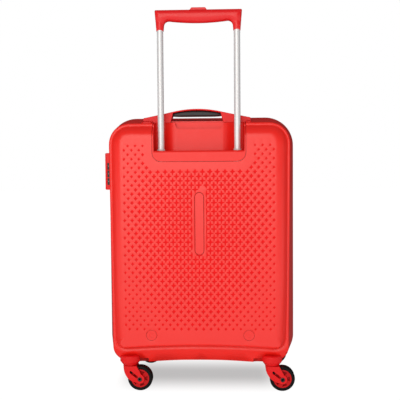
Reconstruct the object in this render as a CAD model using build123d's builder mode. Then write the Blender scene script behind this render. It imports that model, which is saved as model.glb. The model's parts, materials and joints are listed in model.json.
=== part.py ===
# Cabin suitcase with a hard shell in two halves, four swivel casters, a two-stage pull handle,
# a top carry handle, a zip round the rim and a combination lock on the left side.
# Millimetres. +Z up, origin on the floor under the middle of the case.
# The back (pull handle side) faces -Y, the parting plane of the two halves is Y = 0.
import os
from math import asin, degrees, radians, sqrt, tan
from build123d import *

# Case form: one half, by distance from the parting plane. A straight collar, drafted walls up to
# a rounded ridge, and a face panel that swells out of the ridge plane
wall = 2.5
rim_gap = 5.0
collar_depth = 16.0
ridge_depth = 105.0
face_depth = 120.0
rim_half_width = 185.5
rim_top = 530.2
rim_bottom = 39.5
rim_top_radius = 56.0
rim_bottom_radius = 52.0
bottom_arch = 4.5
wall_draft = 11.1
ridge_round = 4.0
panel_margin = 4.6
panel_corner = 39.0
panel_draft = 43.8
face_round = 15.0
toe_bottom = 90.5
toe_corner = 26.0
toe_draft = 36.0
toe_round = 5.0
toe_margin = 2.0
skirt_top = 85.5
skirt_corner = 27.0
skirt_draft = 66.8
skirt_margin = 3.0
well_radius = 36.0
well_roof = 64.0
through = 60.0

# Handle tray, set into the back face
tray_half_width = 88.2
tray_bottom = 441.8
tray_lip_top = 463.0
tray_corner = 17.0
tray_back_depth = 74.5
tray_wall = 3.0
lip_round = 5.0
lip_hollow_margin = 14.0
platform_depth = 85.0
channel_depth = 77.0
platform_half_width = 49.0
channel_half_width = 67.0
platform_round = 28.0
channel_round = 6.0
scoop_half_width = 45.5
scoop_bottom = 505.0
scoop_flare = 6.0
scoop_round = 9.0
above_case = 600.0
edge_window = 0.1

# Telescopic tubes
tube_x = 72.6
tube_y = -99.0
inner_tube_radius = 6.0
tube_wall = 0.8
tube_slack = 0.3
stage_bore_radius = inner_tube_radius + tube_slack
stage_tube_radius = stage_bore_radius + tube_wall
outer_bore_radius = stage_tube_radius + tube_slack
outer_tube_radius = outer_bore_radius + tube_wall
outer_tube_bottom = 112.0
outer_tube_top = 459.0
stage_bottom = 170.0
collar_radius = 7.5
collar_height = 2.8
inner_bottom = 402.0
inner_top = 706.0
tube_sides = (-1, 1)

# Pull grip and its push button
grip_top = 727.0
grip_half_width = 82.2
grip_middle_bottom = 702.5
grip_shoulder_bottom = 706.5
grip_shoulder_x = 48.0
grip_corner_drop = 4.0
grip_corner_inset = 1.5
leg_bottom = 688.0
leg_outer = 79.3
leg_inner = 65.9
leg_bow = 6.0
leg_bow_height = 12.6
leg_half_depth = 7.2
grip_thickness = 22.0
grip_belly_height = 4.0
grip_top_half_depth = 7.5
grip_round = 6.0
cavity_half_length = 77.0
cavity_half_depth = 5.0
cavity_bottom = 709.8
cavity_top = 721.5
button_top = 731.3
button_shoulder = 0.5
button_edge = 1.2
button_base_half = 15.8
button_top_half = 13.0
button_half_depth = 4.6
button_slack = 0.3
cross_bar_bottom = 714.5
cross_bar_top = 719.5
cross_bar_depth = 6.0
rod_radius = 1.75
rod_bottom = 420.0
rod_bore_radius = 2.4
plug_height = 12.0
plug_bore_radius = 1.0

# Screw fixings of the tube feet and the plate in the middle of the back face
screw_x = 92.4
screw_z = 112.8
cap_radius = 10.0
inlay_depth = 1.3
inlay_gap = 0.3
dimple_radius = 4.0
dimple_depth = 0.5
screw_head_radius = 4.0
screw_shank_radius = 2.0
plate_bottom = 266.0
plate_top = 384.0
plate_width = 17.3
foot_bottom = 108.0
foot_top = 134.0
foot_wall = 2.5

# Carry handle on the top wall
carry_x = -5.0
carry_y = -65.0
carry_strap_width = 32.0
carry_top = 543.5
carry_shoulder_x = 45.0
carry_shoulder_z = 538.5
carry_end_x = 103.0
carry_end_z = 526.5
carry_root_x = 56.0
carry_root_z = 500.0
strap_thickness = 2.6
strap_edge = 0.9
pad_thickness = 3.5
pad_length = 46.0
pad_overhang = 1.0
pad_round = 4.0
pad_front_y = -34.0
pad_back_y = -73.5
pad_toe_gap = 2.3
pad_toe_back_y = -99.0
pad_toe_round = 3.0
grip_end_x = 46.0
grip_end_top = 535.7
grip_end_bottom = 529.8
grip_middle_z = 530.4
carry_grip_width = 29.0
backing_y = -47.0
backing_depth = 26.0
backing_round = 5.0

# Combination lock on the left wall
lock_out_x = -191.6
lock_in_x = -168.0
lock_bottom = 387.5
lock_top = 461.0
lock_back_y = -38.0
lock_front_y = -8.0
lock_inner_y = -17.0
lock_edge = 4.0
lock_end_edge = 1.5
lock_face_inset = 14.0
lock_web = 9.0
lock_window_side = 2.0
lock_window_end = 4.0
dial_x = -183.5
dial_y = -29.5
dial_radius = 8.7
dial_sides = 20
dial_height = 13.2
dial_pitch = 15.2
dial_middle_z = 419.2
dial_gap = 0.5
dial_end_gap = 0.3
dial_window_gap = 1.2
dial_axle_radius = 1.5
dial_axle_length = 3 * dial_pitch + 6
button_z = 451.0
lock_button_radius = 5.0
lock_button_length = 9.0
lock_button_proud = 0.8
lock_button_bore = 14.0

# Zip
tape_thickness = 1.2
tape_depth = 15.5
coil_inner = 0.4
coil_outer = 2.4
coil_inset = 1.2
hinge_bottom = 150.0
hinge_top = 420.0
hinge_slack = 1.0
slider_length = 10.0
slider_half_width = 4.6
slider_plate = 1.8
slider_inner_plate = 1.2
slider_inner_gap = 0.3
slider_web_half = coil_inner - 0.1
slider_z = (394.0, 455.0)
pin_proud = 2.9
pin_length = 8.0
pin_lug_y = 3.7
pin_lug_width = 1.2
pin_lug_size = 4.0
pull_pin_radius = 0.8
pull_length = 24.0
pull_width = 5.6
pull_thickness = 2.0
pull_round = 2.0
pull_reach = 1.5
pull_hole_radius = 1.6

# Casters
stem_x = 137.2
stem_y = 93.0
neck_z = 49.5
neck_radius = 13.4
neck_gap = 0.4
boss_z = 57.5
boss_radius = 19.6
boss_top = 70.0
boss_edge = 2.0
pin_radius = 4.0
pin_top = 61.0
pin_bottom = 44.4
pin_end_gap = 0.4
running_slack = 0.05
wheel_radius = 24.0
trail = 19.5
wheel_gap = 1.6
hub_radius = 17.5
hub_half_width = 8.0
pocket_ring = 10.8
pocket_count = 5
pocket_width = 9.5
pocket_length = 7.0
pocket_angle = 66.0
pocket_depth = 5.0
tyre_half_width = 8.5
tyre_edge = 2.0
axle_radius = 3.0
arm_inner = 9.3
arm_outer = 14.0
arm_end_radius = 8.5
arm_shoulder_inset = 1.5
arm_shoulder_drop = 10.0
arm_back = (-3.5, 26.0)
arm_end_back = 5.0
arm_end_low = 6.9
arm_end_front = 3.0
arm_end_high = 8.0
arm_slot_length = 13.0
arm_slot_width = 4.0
arm_slot_place = (5.0, -14.5)
fork_front = 13.0
fork_back = 5.0
rivet_flange = 1.2
rivet_bore_radius = 1.5
caster_corners = {
    "back_left": (-stem_x, -stem_y),
    "back_right": (stem_x, -stem_y),
    "front_left": (-stem_x, stem_y),
    "front_right": (stem_x, stem_y),
}

os.makedirs("parts", exist_ok=True)


def save(part, name):
    """Label a finished piece and write it under its own name."""
    part.label = name
    export_step(part, f"parts/{name}.step")


def arched_outline(side, top, bottom, top_radius, bottom_radius, arch_radius):
    """Rounded outline whose bottom edge is a shallow arch, tangent to both bottom corners."""
    corner_x = side - bottom_radius
    corner_reach = arch_radius + bottom_radius
    corner_z = bottom - arch_radius + sqrt(corner_reach ** 2 - corner_x ** 2)
    corner_turn = 90 + degrees(asin(corner_x / corner_reach))
    with BuildSketch() as outline:
        with BuildLine():
            right = JernArc((side, corner_z), (0, -1), bottom_radius, -corner_turn)
            left = JernArc((-side, corner_z), (0, -1), bottom_radius, corner_turn)
            ThreePointArc(right @ 1, (0, bottom), left @ 1)
            FilletPolyline(
                (side, corner_z), (side, top), (-side, top), (-side, corner_z), radius=top_radius
            )
        make_face()
    return outline.sketch


# The arch rises over the straight part of the bottom edge
arch_span = rim_half_width - rim_bottom_radius
rim_arch_radius = (arch_span ** 2 + bottom_arch ** 2) / (2 * bottom_arch)
draft_slope = tan(radians(wall_draft))
ridge_inset = (ridge_depth - collar_depth) * draft_slope


def case_outline(inset):
    """The outline of the case's rim, moved in by inset."""
    return arched_outline(
        rim_half_width - inset, rim_top - inset, rim_bottom + bottom_arch + inset,
        rim_top_radius - inset, rim_bottom_radius - inset, rim_arch_radius + inset,
    )


def wall_section(depth, inset):
    """The case's outline at a depth between collar and ridge, moved in by inset."""
    return case_outline(inset + (depth - collar_depth) * draft_slope)


def wall_form(inset, rim_depth):
    """Collar and drafted walls of one half as a solid body, every wall moved in by inset."""
    with BuildPart() as form:
        with BuildSketch(Plane.XZ.offset(rim_depth)):
            add(case_outline(inset))
        extrude(amount=collar_depth - rim_depth)
        with BuildSketch(Plane.XZ.offset(collar_depth)):
            add(case_outline(inset))
        extrude(amount=ridge_depth - inset - collar_depth, taper=wall_draft)
    return form.part


def face_panel(inset, edge_round, toe_edge_round):
    """The raised face: wide soft edges at the top and sides, a steep toe along the bottom."""
    panel_plane = Plane.XZ.offset(ridge_depth - inset)
    panel_height = face_depth - ridge_depth
    side = rim_half_width - ridge_inset - panel_margin - inset
    top = rim_top - ridge_inset - panel_margin - inset
    corner = panel_corner - inset
    toe_radius = toe_corner - inset
    with BuildPart() as toe:
        with BuildSketch(panel_plane):
            add(
                arched_outline(
                    side + toe_margin, top + toe_corner, toe_bottom + inset,
                    toe_radius, toe_radius, rim_arch_radius,
                )
            )
        extrude(amount=panel_height, taper=toe_draft)
        if toe_edge_round > 0:
            fillet(toe.faces().sort_by(Axis.Y)[0].edges(), toe_edge_round)
    with BuildPart() as panel:
        with BuildSketch(panel_plane):
            add(arched_outline(side, top, rim_bottom, corner, corner, rim_arch_radius))
        extrude(amount=panel_height, taper=panel_draft)
        if edge_round > 0:
            fillet(panel.faces().sort_by(Axis.Y)[0].edges(), edge_round)
        add(toe.part, mode=Mode.INTERSECT)
    return panel.part


def skirt_bound(inset, edge_round):
    """Bounds the body below the ridge: its lower back edge leans in as a slanted skirt."""
    side = rim_half_width - ridge_inset + skirt_margin - inset
    top = rim_top - ridge_inset + skirt_margin - inset
    corner = skirt_corner - inset
    with BuildPart() as bound:
        with BuildSketch(Plane.XZ.offset(ridge_depth - inset)):
            add(arched_outline(side, top, skirt_top + inset, corner, corner, rim_arch_radius))
        extrude(amount=-ridge_depth, taper=-skirt_draft)
        if edge_round > 0:
            fillet(bound.faces().sort_by(Axis.Y)[0].edges(), edge_round)
    return bound.part


def wheel_wells(grow):
    """Round wells in both bottom corners of the back half, where the casters stand."""
    with BuildPart() as wells:
        with Locations((-stem_x, -stem_y), (stem_x, -stem_y)):
            Cylinder(
                well_radius + grow, well_roof + grow, align=(Align.CENTER, Align.CENTER, Align.MIN)
            )
    return wells.part


def both_sides(form):
    """The right half of a form and its mirror image, so that both sides are alike."""
    with BuildPart() as whole:
        add(form)
        split(bisect_by=Plane.YZ, keep=Keep.TOP)
        mirror(about=Plane.YZ)
    return whole.part


# Both halves are thin shells of the same form: the outer body less the inner one
with BuildPart() as outer_body:
    add(wall_form(0, rim_gap))
    fillet(outer_body.faces().sort_by(Axis.Y)[0].edges(), ridge_round)
    add(skirt_bound(0, ridge_round), mode=Mode.INTERSECT)
    add(face_panel(0, face_round, toe_round))
    add(wheel_wells(0), mode=Mode.SUBTRACT)
with BuildPart() as inner_body:
    add(wall_form(wall, rim_gap - 1))
    add(skirt_bound(wall, 0), mode=Mode.INTERSECT)
    add(face_panel(wall, 0, 0))
    add(wheel_wells(wall), mode=Mode.SUBTRACT)
outer_form = both_sides(outer_body.part)
inner_form = both_sides(inner_body.part)
front_form = outer_form.rotate(Axis.Z, 180)


def tray_outline(grow):
    """Outline of the handle tray on the back face, open at the top of the case."""
    half = tray_half_width + grow
    low = tray_bottom - grow
    with BuildSketch() as outline:
        with BuildLine():
            FilletPolyline(
                (half, above_case), (half, low), (-half, low), (-half, above_case),
                radius=tray_corner + grow,
            )
            Line((-half, above_case), (half, above_case))
        make_face()
    return outline.sketch


# Back shell: window for the tray, sunk seats for the screw caps and the middle plate,
# window for the lock
lock_mid_z = (lock_bottom + lock_top) / 2
lock_mid_y = (lock_back_y + lock_front_y) / 2
lock_height = lock_top - lock_bottom
lock_window_depth = lock_inner_y - lock_back_y - lock_window_side
lock_window_y = (lock_inner_y + lock_back_y + lock_window_side) / 2
lock_window_height = lock_height - 2 * lock_window_end
lock_window_length = 50.0
lock_window_x = lock_in_x - lock_window_length / 2
plate_mid_z = (plate_bottom + plate_top) / 2
plate_height = plate_top - plate_bottom
with BuildPart() as back_shell:
    add(outer_form)
    add(inner_form, mode=Mode.SUBTRACT)
    with BuildSketch(Plane.XZ.offset(tray_back_depth)):
        add(tray_outline(inlay_gap))
    extrude(amount=face_depth, mode=Mode.SUBTRACT)
    with BuildSketch(Plane.XZ.offset(face_depth - inlay_depth)):
        with Locations((-screw_x, screw_z), (screw_x, screw_z)):
            Circle(cap_radius + inlay_gap)
        with Locations((0, plate_mid_z)):
            SlotOverall(plate_height + 2 * inlay_gap, plate_width + 2 * inlay_gap, rotation=90)
    extrude(amount=wall, mode=Mode.SUBTRACT)
    with BuildSketch(Plane.XZ.offset(face_depth - 2 * wall)):
        with Locations((-screw_x, screw_z), (screw_x, screw_z)):
            Circle(screw_head_radius + inlay_gap)
    extrude(amount=2 * wall, mode=Mode.SUBTRACT)
    with Locations((lock_window_x, lock_window_y, lock_mid_z)):
        Box(lock_window_length, lock_window_depth, lock_window_height, mode=Mode.SUBTRACT)
    with Locations((dial_x, dial_y, dial_middle_z)):
        Cylinder(dial_radius + dial_window_gap, 3 * dial_pitch, mode=Mode.SUBTRACT)
save(back_shell.part, "back_shell")

# Front shell: the same moulding without the windows
with BuildPart() as front_shell:
    add(outer_form)
    add(inner_form, mode=Mode.SUBTRACT)
save(front_shell.part.rotate(Axis.Z, 180), "front_shell")

# Handle tray: a lip across the bottom, two channels for the tubes and a raised middle
scoop_top_half_width = scoop_half_width + scoop_flare
with BuildPart() as handle_tray:
    with BuildSketch(Plane.XZ.offset(tray_back_depth)):
        add(tray_outline(0))
    extrude(amount=face_depth - tray_back_depth)
    add(outer_form, mode=Mode.INTERSECT)
    inner_half = tray_half_width - tray_wall
    with BuildSketch(Plane.XY.offset(tray_lip_top)):
        with BuildLine():
            FilletPolyline(
                (inner_half, -face_depth * 2),
                (inner_half, -channel_depth),
                (channel_half_width, -channel_depth),
                (platform_half_width, -platform_depth),
                (-platform_half_width, -platform_depth),
                (-channel_half_width, -channel_depth),
                (-inner_half, -channel_depth),
                (-inner_half, -face_depth * 2),
                radius=[channel_round] + 4 * [platform_round] + [channel_round],
            )
            Line((-inner_half, -face_depth * 2), (inner_half, -face_depth * 2))
        make_face()
    extrude(amount=above_case - tray_lip_top, mode=Mode.SUBTRACT)
    with BuildSketch(Plane.XZ.offset(channel_depth)):
        with BuildLine():
            FilletPolyline(
                (scoop_top_half_width, above_case),
                (scoop_half_width, scoop_bottom),
                (-scoop_half_width, scoop_bottom),
                (-scoop_top_half_width, above_case),
                radius=scoop_round,
            )
            Line((-scoop_top_half_width, above_case), (scoop_top_half_width, above_case))
        make_face()
    extrude(amount=face_depth, mode=Mode.SUBTRACT)
    lip_edges = handle_tray.edges().filter_by(Axis.X)
    lip_front = lip_edges.filter_by_position(
        Axis.Z, tray_lip_top - edge_window, tray_lip_top + edge_window
    )
    fillet(lip_front.sort_by(Axis.Y)[0], lip_round)
    with Locations((-tube_x, tube_y, tray_bottom), (tube_x, tube_y, tray_bottom)):
        Cylinder(
            outer_tube_radius, outer_tube_top - tray_bottom,
            align=(Align.CENTER, Align.CENTER, Align.MIN), mode=Mode.SUBTRACT,
        )
        Cylinder(outer_bore_radius, through, mode=Mode.SUBTRACT)
    # The lip is a hollow moulding, open towards the inside of the case
    with BuildSketch(Plane.XZ.offset(tray_back_depth)):
        with Locations((0, (tray_bottom + tray_lip_top) / 2)):
            Rectangle(2 * (tube_x - lip_hollow_margin), tray_lip_top - tray_bottom - 2 * tray_wall)
    extrude(amount=face_depth - tray_back_depth - tray_wall, mode=Mode.SUBTRACT)
save(handle_tray.part, "handle_tray")

# Plate let into the middle of the back face
with BuildPart() as centre_plate:
    with BuildSketch(Plane.XZ.offset(face_depth - inlay_depth)):
        with Locations((0, plate_mid_z)):
            SlotOverall(plate_height, plate_width, rotation=90)
    extrude(amount=inlay_depth)
save(centre_plate.part, "centre_plate")

# Tube foot fixings: caps flush with the face, screws under them, feet inside the shell
cap_plane = Plane.XZ.offset(face_depth - inlay_depth)
with BuildPart() as foot_screw_caps:
    with BuildSketch(cap_plane):
        with Locations((-screw_x, screw_z), (screw_x, screw_z)):
            Circle(cap_radius)
    extrude(amount=inlay_depth)
    with BuildSketch(Plane.XZ.offset(face_depth - dimple_depth)):
        with Locations((-screw_x, screw_z), (screw_x, screw_z)):
            Circle(dimple_radius)
    extrude(amount=2 * dimple_depth, mode=Mode.SUBTRACT)
save(foot_screw_caps.part, "foot_screw_caps")

screw_seat = face_depth - wall
screw_length = 9.0
with BuildPart() as foot_screws:
    with BuildSketch(Plane.XZ.offset(screw_seat)):
        with Locations((-screw_x, screw_z), (screw_x, screw_z)):
            Circle(screw_head_radius)
    extrude(amount=wall - inlay_depth)
    with BuildSketch(Plane.XZ.offset(screw_seat)):
        with Locations((-screw_x, screw_z), (screw_x, screw_z)):
            Circle(screw_shank_radius)
    extrude(amount=-screw_length)
save(foot_screws.part, "foot_screws")

foot_inner_x = 61.0
foot_outer_x = 104.0
foot_plate = 12.0
with BuildPart() as tube_feet:
    with BuildSketch(Plane.XZ.offset(screw_seat)):
        for side in tube_sides:
            with Locations((side * (foot_inner_x + foot_outer_x) / 2, (foot_bottom + foot_top) / 2)):
                Rectangle(foot_outer_x - foot_inner_x, foot_top - foot_bottom)
    extrude(amount=-foot_plate)
    for side in tube_sides:
        with Locations((side * tube_x, tube_y, foot_bottom)):
            Cylinder(
                outer_tube_radius + foot_wall, foot_top - foot_bottom,
                align=(Align.CENTER, Align.CENTER, Align.MIN),
            )
    for side in tube_sides:
        with Locations((side * tube_x, tube_y, outer_tube_bottom)):
            Cylinder(
                outer_tube_radius, foot_top, align=(Align.CENTER, Align.CENTER, Align.MIN),
                mode=Mode.SUBTRACT,
            )
        with Locations((side * screw_x, -screw_seat + screw_length / 2, screw_z)):
            Cylinder(screw_shank_radius, screw_length, rotation=(90, 0, 0), mode=Mode.SUBTRACT)
save(tube_feet.part, "tube_feet")


def tube_pair(radius, bore, bottom, top):
    """A left and a right tube of the pull handle."""
    with BuildPart() as pair:
        with BuildSketch(Plane.XY.offset(bottom)):
            with Locations((-tube_x, tube_y), (tube_x, tube_y)):
                Circle(radius)
                Circle(bore, mode=Mode.SUBTRACT)
        extrude(amount=top - bottom)
    return pair.part


outer_tubes = tube_pair(outer_tube_radius, outer_bore_radius, outer_tube_bottom, outer_tube_top)
save(outer_tubes, "outer_tubes")
stage_tubes = tube_pair(stage_tube_radius, stage_bore_radius, stage_bottom, tray_lip_top)
save(stage_tubes, "stage_tubes")
stage_collars = tube_pair(
    collar_radius, stage_bore_radius, tray_lip_top, tray_lip_top + collar_height
)
save(stage_collars, "stage_collars")
inner_bore_radius = inner_tube_radius - tube_wall
inner_tubes = tube_pair(inner_tube_radius, inner_bore_radius, inner_bottom, inner_top)
save(inner_tubes, "inner_tubes")
tube_plugs = tube_pair(inner_bore_radius, plug_bore_radius, inner_bottom, inner_bottom + plug_height)
save(tube_plugs, "tube_plugs")

# Pull grip: a bowed bar with two legs that take the inner tubes
grip_plane = Plane.XZ.offset(-tube_y - grip_thickness / 2)
grip_corner_x = grip_half_width - grip_corner_inset
grip_corner_z = grip_top - grip_corner_drop
leg_bow_x = leg_inner - leg_bow
leg_bow_z = leg_bottom + leg_bow_height
grip_belly_z = grip_middle_bottom + grip_belly_height
with BuildPart() as pull_grip:
    with BuildSketch(grip_plane):
        with BuildLine():
            Polyline(
                (-leg_inner, leg_bottom), (-leg_outer, leg_bottom),
                (-grip_half_width, grip_corner_z), (-grip_corner_x, grip_top),
                (grip_corner_x, grip_top), (grip_half_width, grip_corner_z),
                (leg_outer, leg_bottom), (leg_inner, leg_bottom),
            )
            ThreePointArc(
                (leg_inner, leg_bottom), (leg_bow_x, leg_bow_z),
                (grip_shoulder_x, grip_shoulder_bottom),
            )
            ThreePointArc(
                (grip_shoulder_x, grip_shoulder_bottom), (0, grip_middle_bottom),
                (-grip_shoulder_x, grip_shoulder_bottom),
            )
            ThreePointArc(
                (-grip_shoulder_x, grip_shoulder_bottom), (-leg_bow_x, leg_bow_z),
                (-leg_inner, leg_bottom),
            )
        make_face()
    extrude(amount=grip_thickness)
    # Seen from the side the grip is an upright oval: full in the bar, slim at the legs' ends
    with BuildSketch(Plane((-grip_half_width, tube_y, 0), x_dir=(0, 1, 0), z_dir=(1, 0, 0))):
        with BuildLine():
            FilletPolyline(
                (-leg_half_depth, leg_bottom), (-grip_thickness / 2, grip_belly_z),
                (-grip_top_half_depth, grip_top), (grip_top_half_depth, grip_top),
                (grip_thickness / 2, grip_belly_z), (leg_half_depth, leg_bottom),
                radius=grip_round,
            )
            Line((leg_half_depth, leg_bottom), (-leg_half_depth, leg_bottom))
        make_face()
    extrude(amount=2 * grip_half_width, mode=Mode.INTERSECT)
    # Inside: a channel for the cross bar, sockets for the tubes, a slot for the button
    with Locations((0, tube_y, (cavity_bottom + cavity_top) / 2)):
        Box(
            2 * cavity_half_length, 2 * cavity_half_depth, cavity_top - cavity_bottom,
            mode=Mode.SUBTRACT,
        )
    with Locations((0, tube_y, grip_top)):
        Box(
            2 * (button_base_half + button_slack), 2 * (button_half_depth + button_slack),
            2 * (grip_top - cross_bar_top), mode=Mode.SUBTRACT,
        )
    for side in tube_sides:
        with Locations((side * tube_x, tube_y, inner_top)):
            Cylinder(
                inner_tube_radius, through, align=(Align.CENTER, Align.CENTER, Align.MAX),
                mode=Mode.SUBTRACT,
            )
            Cylinder(rod_bore_radius, 2 * (cavity_bottom - inner_top), mode=Mode.SUBTRACT)
save(pull_grip.part, "pull_grip")

# Push button: its skirt stays in the slot, its top stands above the grip
with BuildPart() as release_button:
    with BuildSketch(Plane.XZ.offset(-tube_y - button_half_depth)):
        with BuildLine():
            Polyline(
                (-button_base_half, cross_bar_top),
                (-button_base_half, grip_top + button_shoulder),
                (-button_top_half, button_top),
                (button_top_half, button_top),
                (button_base_half, grip_top + button_shoulder),
                (button_base_half, cross_bar_top),
                close=True,
            )
        make_face()
    extrude(amount=2 * button_half_depth)
    fillet(release_button.edges().group_by(Axis.Z)[-1], button_edge)
save(release_button.part, "release_button")

# Cross bar under the button with a push rod down each inner tube
with BuildPart() as push_rods:
    with Locations((0, tube_y, (cross_bar_bottom + cross_bar_top) / 2)):
        Box(2 * tube_x + cross_bar_depth, cross_bar_depth, cross_bar_top - cross_bar_bottom)
    with BuildSketch(Plane.XY.offset(rod_bottom)):
        with Locations((-tube_x, tube_y), (tube_x, tube_y)):
            Circle(rod_radius)
    extrude(amount=cross_bar_bottom - rod_bottom)
save(push_rods.part, "push_rods")

# Carry handle: a moulded strap that rises from two pads on the sloping top wall
carry_plane = Plane.XZ.offset(-carry_y - carry_strap_width / 2).move(Location((carry_x, 0, 0)))
with BuildPart() as carry_handle:
    with BuildSketch(carry_plane):
        with BuildLine():
            crown = ThreePointArc(
                (-carry_shoulder_x, carry_shoulder_z), (0, carry_top),
                (carry_shoulder_x, carry_shoulder_z),
            )
            TangentArc(
                (carry_shoulder_x, carry_shoulder_z), (carry_end_x, carry_end_z),
                tangent=crown % 1,
            )
            Polyline(
                (carry_end_x, carry_end_z), (carry_end_x, carry_root_z), (carry_root_x, carry_root_z),
                (grip_end_x, grip_end_top),
            )
            ThreePointArc(
                (grip_end_x, grip_end_top), (0, carry_top - strap_thickness),
                (-grip_end_x, grip_end_top),
            )
            Polyline(
                (-grip_end_x, grip_end_top), (-carry_root_x, carry_root_z),
                (-carry_end_x, carry_root_z), (-carry_end_x, carry_end_z),
            )
            TangentArc(
                (-carry_shoulder_x, carry_shoulder_z), (-carry_end_x, carry_end_z),
                tangent=(crown % 0) * -1,
            )
        make_face()
    extrude(amount=carry_strap_width)
    crown_edges = carry_handle.edges().filter_by(GeomType.CIRCLE)
    chamfer(crown_edges.filter_by(lambda edge: edge.center().Z > grip_end_top), strap_edge)
    add(outer_form, mode=Mode.SUBTRACT)
pad_mid_y = (pad_front_y + pad_back_y) / 2
with BuildPart() as carry_pads:
    with BuildSketch(Plane.XY.offset(carry_root_z)):
        for side in tube_sides:
            pad_end = carry_x + side * (carry_end_x + pad_overhang)
            with Locations((pad_end - side * pad_length / 2, pad_mid_y)):
                RectangleRounded(pad_length, pad_front_y - pad_back_y, pad_round)
            toe_start = side * (tray_half_width + pad_toe_gap)
            with Locations(((toe_start + pad_end) / 2, (pad_front_y + pad_toe_back_y) / 2)):
                RectangleRounded(
                    abs(pad_end - toe_start), pad_front_y - pad_toe_back_y, pad_toe_round
                )
    extrude(amount=through)
    add(wall_form(-pad_thickness, rim_gap), mode=Mode.INTERSECT)
    add(outer_form, mode=Mode.SUBTRACT)
    add(carry_handle.part)
save(carry_pads.part, "carry_handle")

# Soft grip under the strap, where the hand holds it
grip_pad_plane = Plane.XZ.offset(-carry_y - carry_grip_width / 2).move(Location((carry_x, 0, 0)))
with BuildPart() as carry_grip:
    with BuildSketch(grip_pad_plane):
        with BuildLine():
            ThreePointArc(
                (grip_end_x, grip_end_top), (0, carry_top - strap_thickness),
                (-grip_end_x, grip_end_top),
            )
            Line((-grip_end_x, grip_end_top), (-grip_end_x, grip_end_bottom))
            ThreePointArc(
                (-grip_end_x, grip_end_bottom), (0, grip_middle_z), (grip_end_x, grip_end_bottom),
            )
            Line((grip_end_x, grip_end_bottom), (grip_end_x, grip_end_top))
        make_face()
    extrude(amount=carry_grip_width)
save(carry_grip.part, "carry_grip")

# Plate inside the top wall that takes the carry handle's screws
with BuildPart() as carry_backing:
    with BuildSketch(Plane.XY.offset(carry_root_z)):
        with Locations((carry_x, backing_y)):
            RectangleRounded(2 * carry_end_x, backing_depth, backing_round)
    extrude(amount=through)
    add(inner_form, mode=Mode.INTERSECT)
    add(wall_form(2 * wall, rim_gap - 1), mode=Mode.SUBTRACT)
save(carry_backing.part, "carry_backing")

# Combination lock: housing through a window in the left wall, dials open to the side and back
dial_levels = [dial_middle_z + step * dial_pitch for step in (-1, 0, 1)]
lock_face_x = lock_out_x + lock_face_inset
with BuildPart() as lock_housing:
    with BuildSketch(Plane.XY.offset(lock_bottom)):
        with BuildLine():
            FilletPolyline(
                (lock_face_x, lock_front_y), (lock_out_x, lock_front_y), (lock_out_x, lock_back_y),
                (lock_face_x, lock_back_y),
                radius=lock_edge,
            )
            Line((lock_face_x, lock_back_y), (lock_face_x, lock_front_y))
        make_face()
    extrude(amount=lock_height)
    for end in (0, -1):
        chamfer(lock_housing.edges().group_by(Axis.Z)[end].sort_by(Axis.X)[:3], lock_end_edge)
    add(outer_form, mode=Mode.SUBTRACT)
    with Locations(((lock_in_x + lock_face_x) / 2, lock_window_y, lock_mid_z)):
        Box(lock_in_x - lock_face_x, lock_window_depth, lock_window_height)
    with Locations((lock_face_x, lock_window_y, lock_mid_z)):
        Box(lock_web, lock_window_depth, lock_window_height)
    for level in dial_levels:
        with Locations((dial_x, dial_y, level)):
            Cylinder(dial_radius + dial_gap, dial_height + 2 * dial_end_gap, mode=Mode.SUBTRACT)
    with Locations((dial_x, dial_y, dial_middle_z)):
        Cylinder(dial_axle_radius, dial_axle_length, mode=Mode.SUBTRACT)
    with Locations((lock_out_x, lock_mid_y, button_z)):
        Cylinder(
            lock_button_radius + button_slack, 2 * lock_button_bore, rotation=(0, 90, 0),
            mode=Mode.SUBTRACT,
        )
save(lock_housing.part, "lock_housing")

with BuildPart() as dial_axle:
    with Locations((dial_x, dial_y, dial_middle_z)):
        Cylinder(dial_axle_radius, dial_axle_length)
save(dial_axle.part, "dial_axle")

# Number dials with ten number flats and ten grip flats
for number, level in enumerate(dial_levels, start=1):
    with BuildPart() as dial:
        with BuildSketch(Plane((dial_x, dial_y, level - dial_height / 2))):
            RegularPolygon(dial_radius, dial_sides)
            Circle(dial_axle_radius + running_slack, mode=Mode.SUBTRACT)
        extrude(amount=dial_height)
    save(dial.part, f"lock_dial_{number}")

with BuildPart() as lock_button:
    with Locations((lock_out_x - lock_button_proud, lock_mid_y, button_z)):
        Cylinder(
            lock_button_radius, lock_button_length, rotation=(0, 90, 0),
            align=(Align.CENTER, Align.CENTER, Align.MIN),
        )
    chamfer(lock_button.edges().group_by(Axis.X)[0], lock_button_proud)
save(lock_button.part, "lock_button")


def rim_band(inset_outer, inset_inner, depth_near, depth_far):
    """A band that follows the rim, between two insets from its outline."""
    with BuildPart() as band:
        with BuildSketch(Plane.XZ.offset(depth_near)):
            for inset, mode in ((inset_outer, Mode.ADD), (inset_inner, Mode.SUBTRACT)):
                add(case_outline(inset), mode=mode)
        extrude(amount=depth_far - depth_near)
    return band.part


# Zip tapes inside both rims, each with its coil along the free edge, and a gap for the hinge
with BuildPart() as back_zip_tape:
    add(rim_band(wall, wall + tape_thickness, coil_inner, tape_depth))
    add(rim_band(coil_inset, wall + tape_thickness, coil_inner, coil_outer))
    with Locations((rim_half_width, 0, (hinge_bottom + hinge_top) / 2)):
        Box(2 * tape_depth, through, hinge_top - hinge_bottom, mode=Mode.SUBTRACT)
save(back_zip_tape.part, "back_zip_tape")
front_zip_tape = back_zip_tape.part.mirror(Plane.XZ)
save(front_zip_tape, "front_zip_tape")

# Woven strip on the right side that the front half swings on
with BuildPart() as hinge_tape:
    strip_x = rim_half_width - wall - tape_thickness / 2
    with Locations((strip_x, 0, (hinge_bottom + hinge_top) / 2)):
        Box(tape_thickness, 2 * tape_depth, hinge_top - hinge_bottom - 2 * hinge_slack)
save(hinge_tape.part, "hinge_tape")

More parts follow.
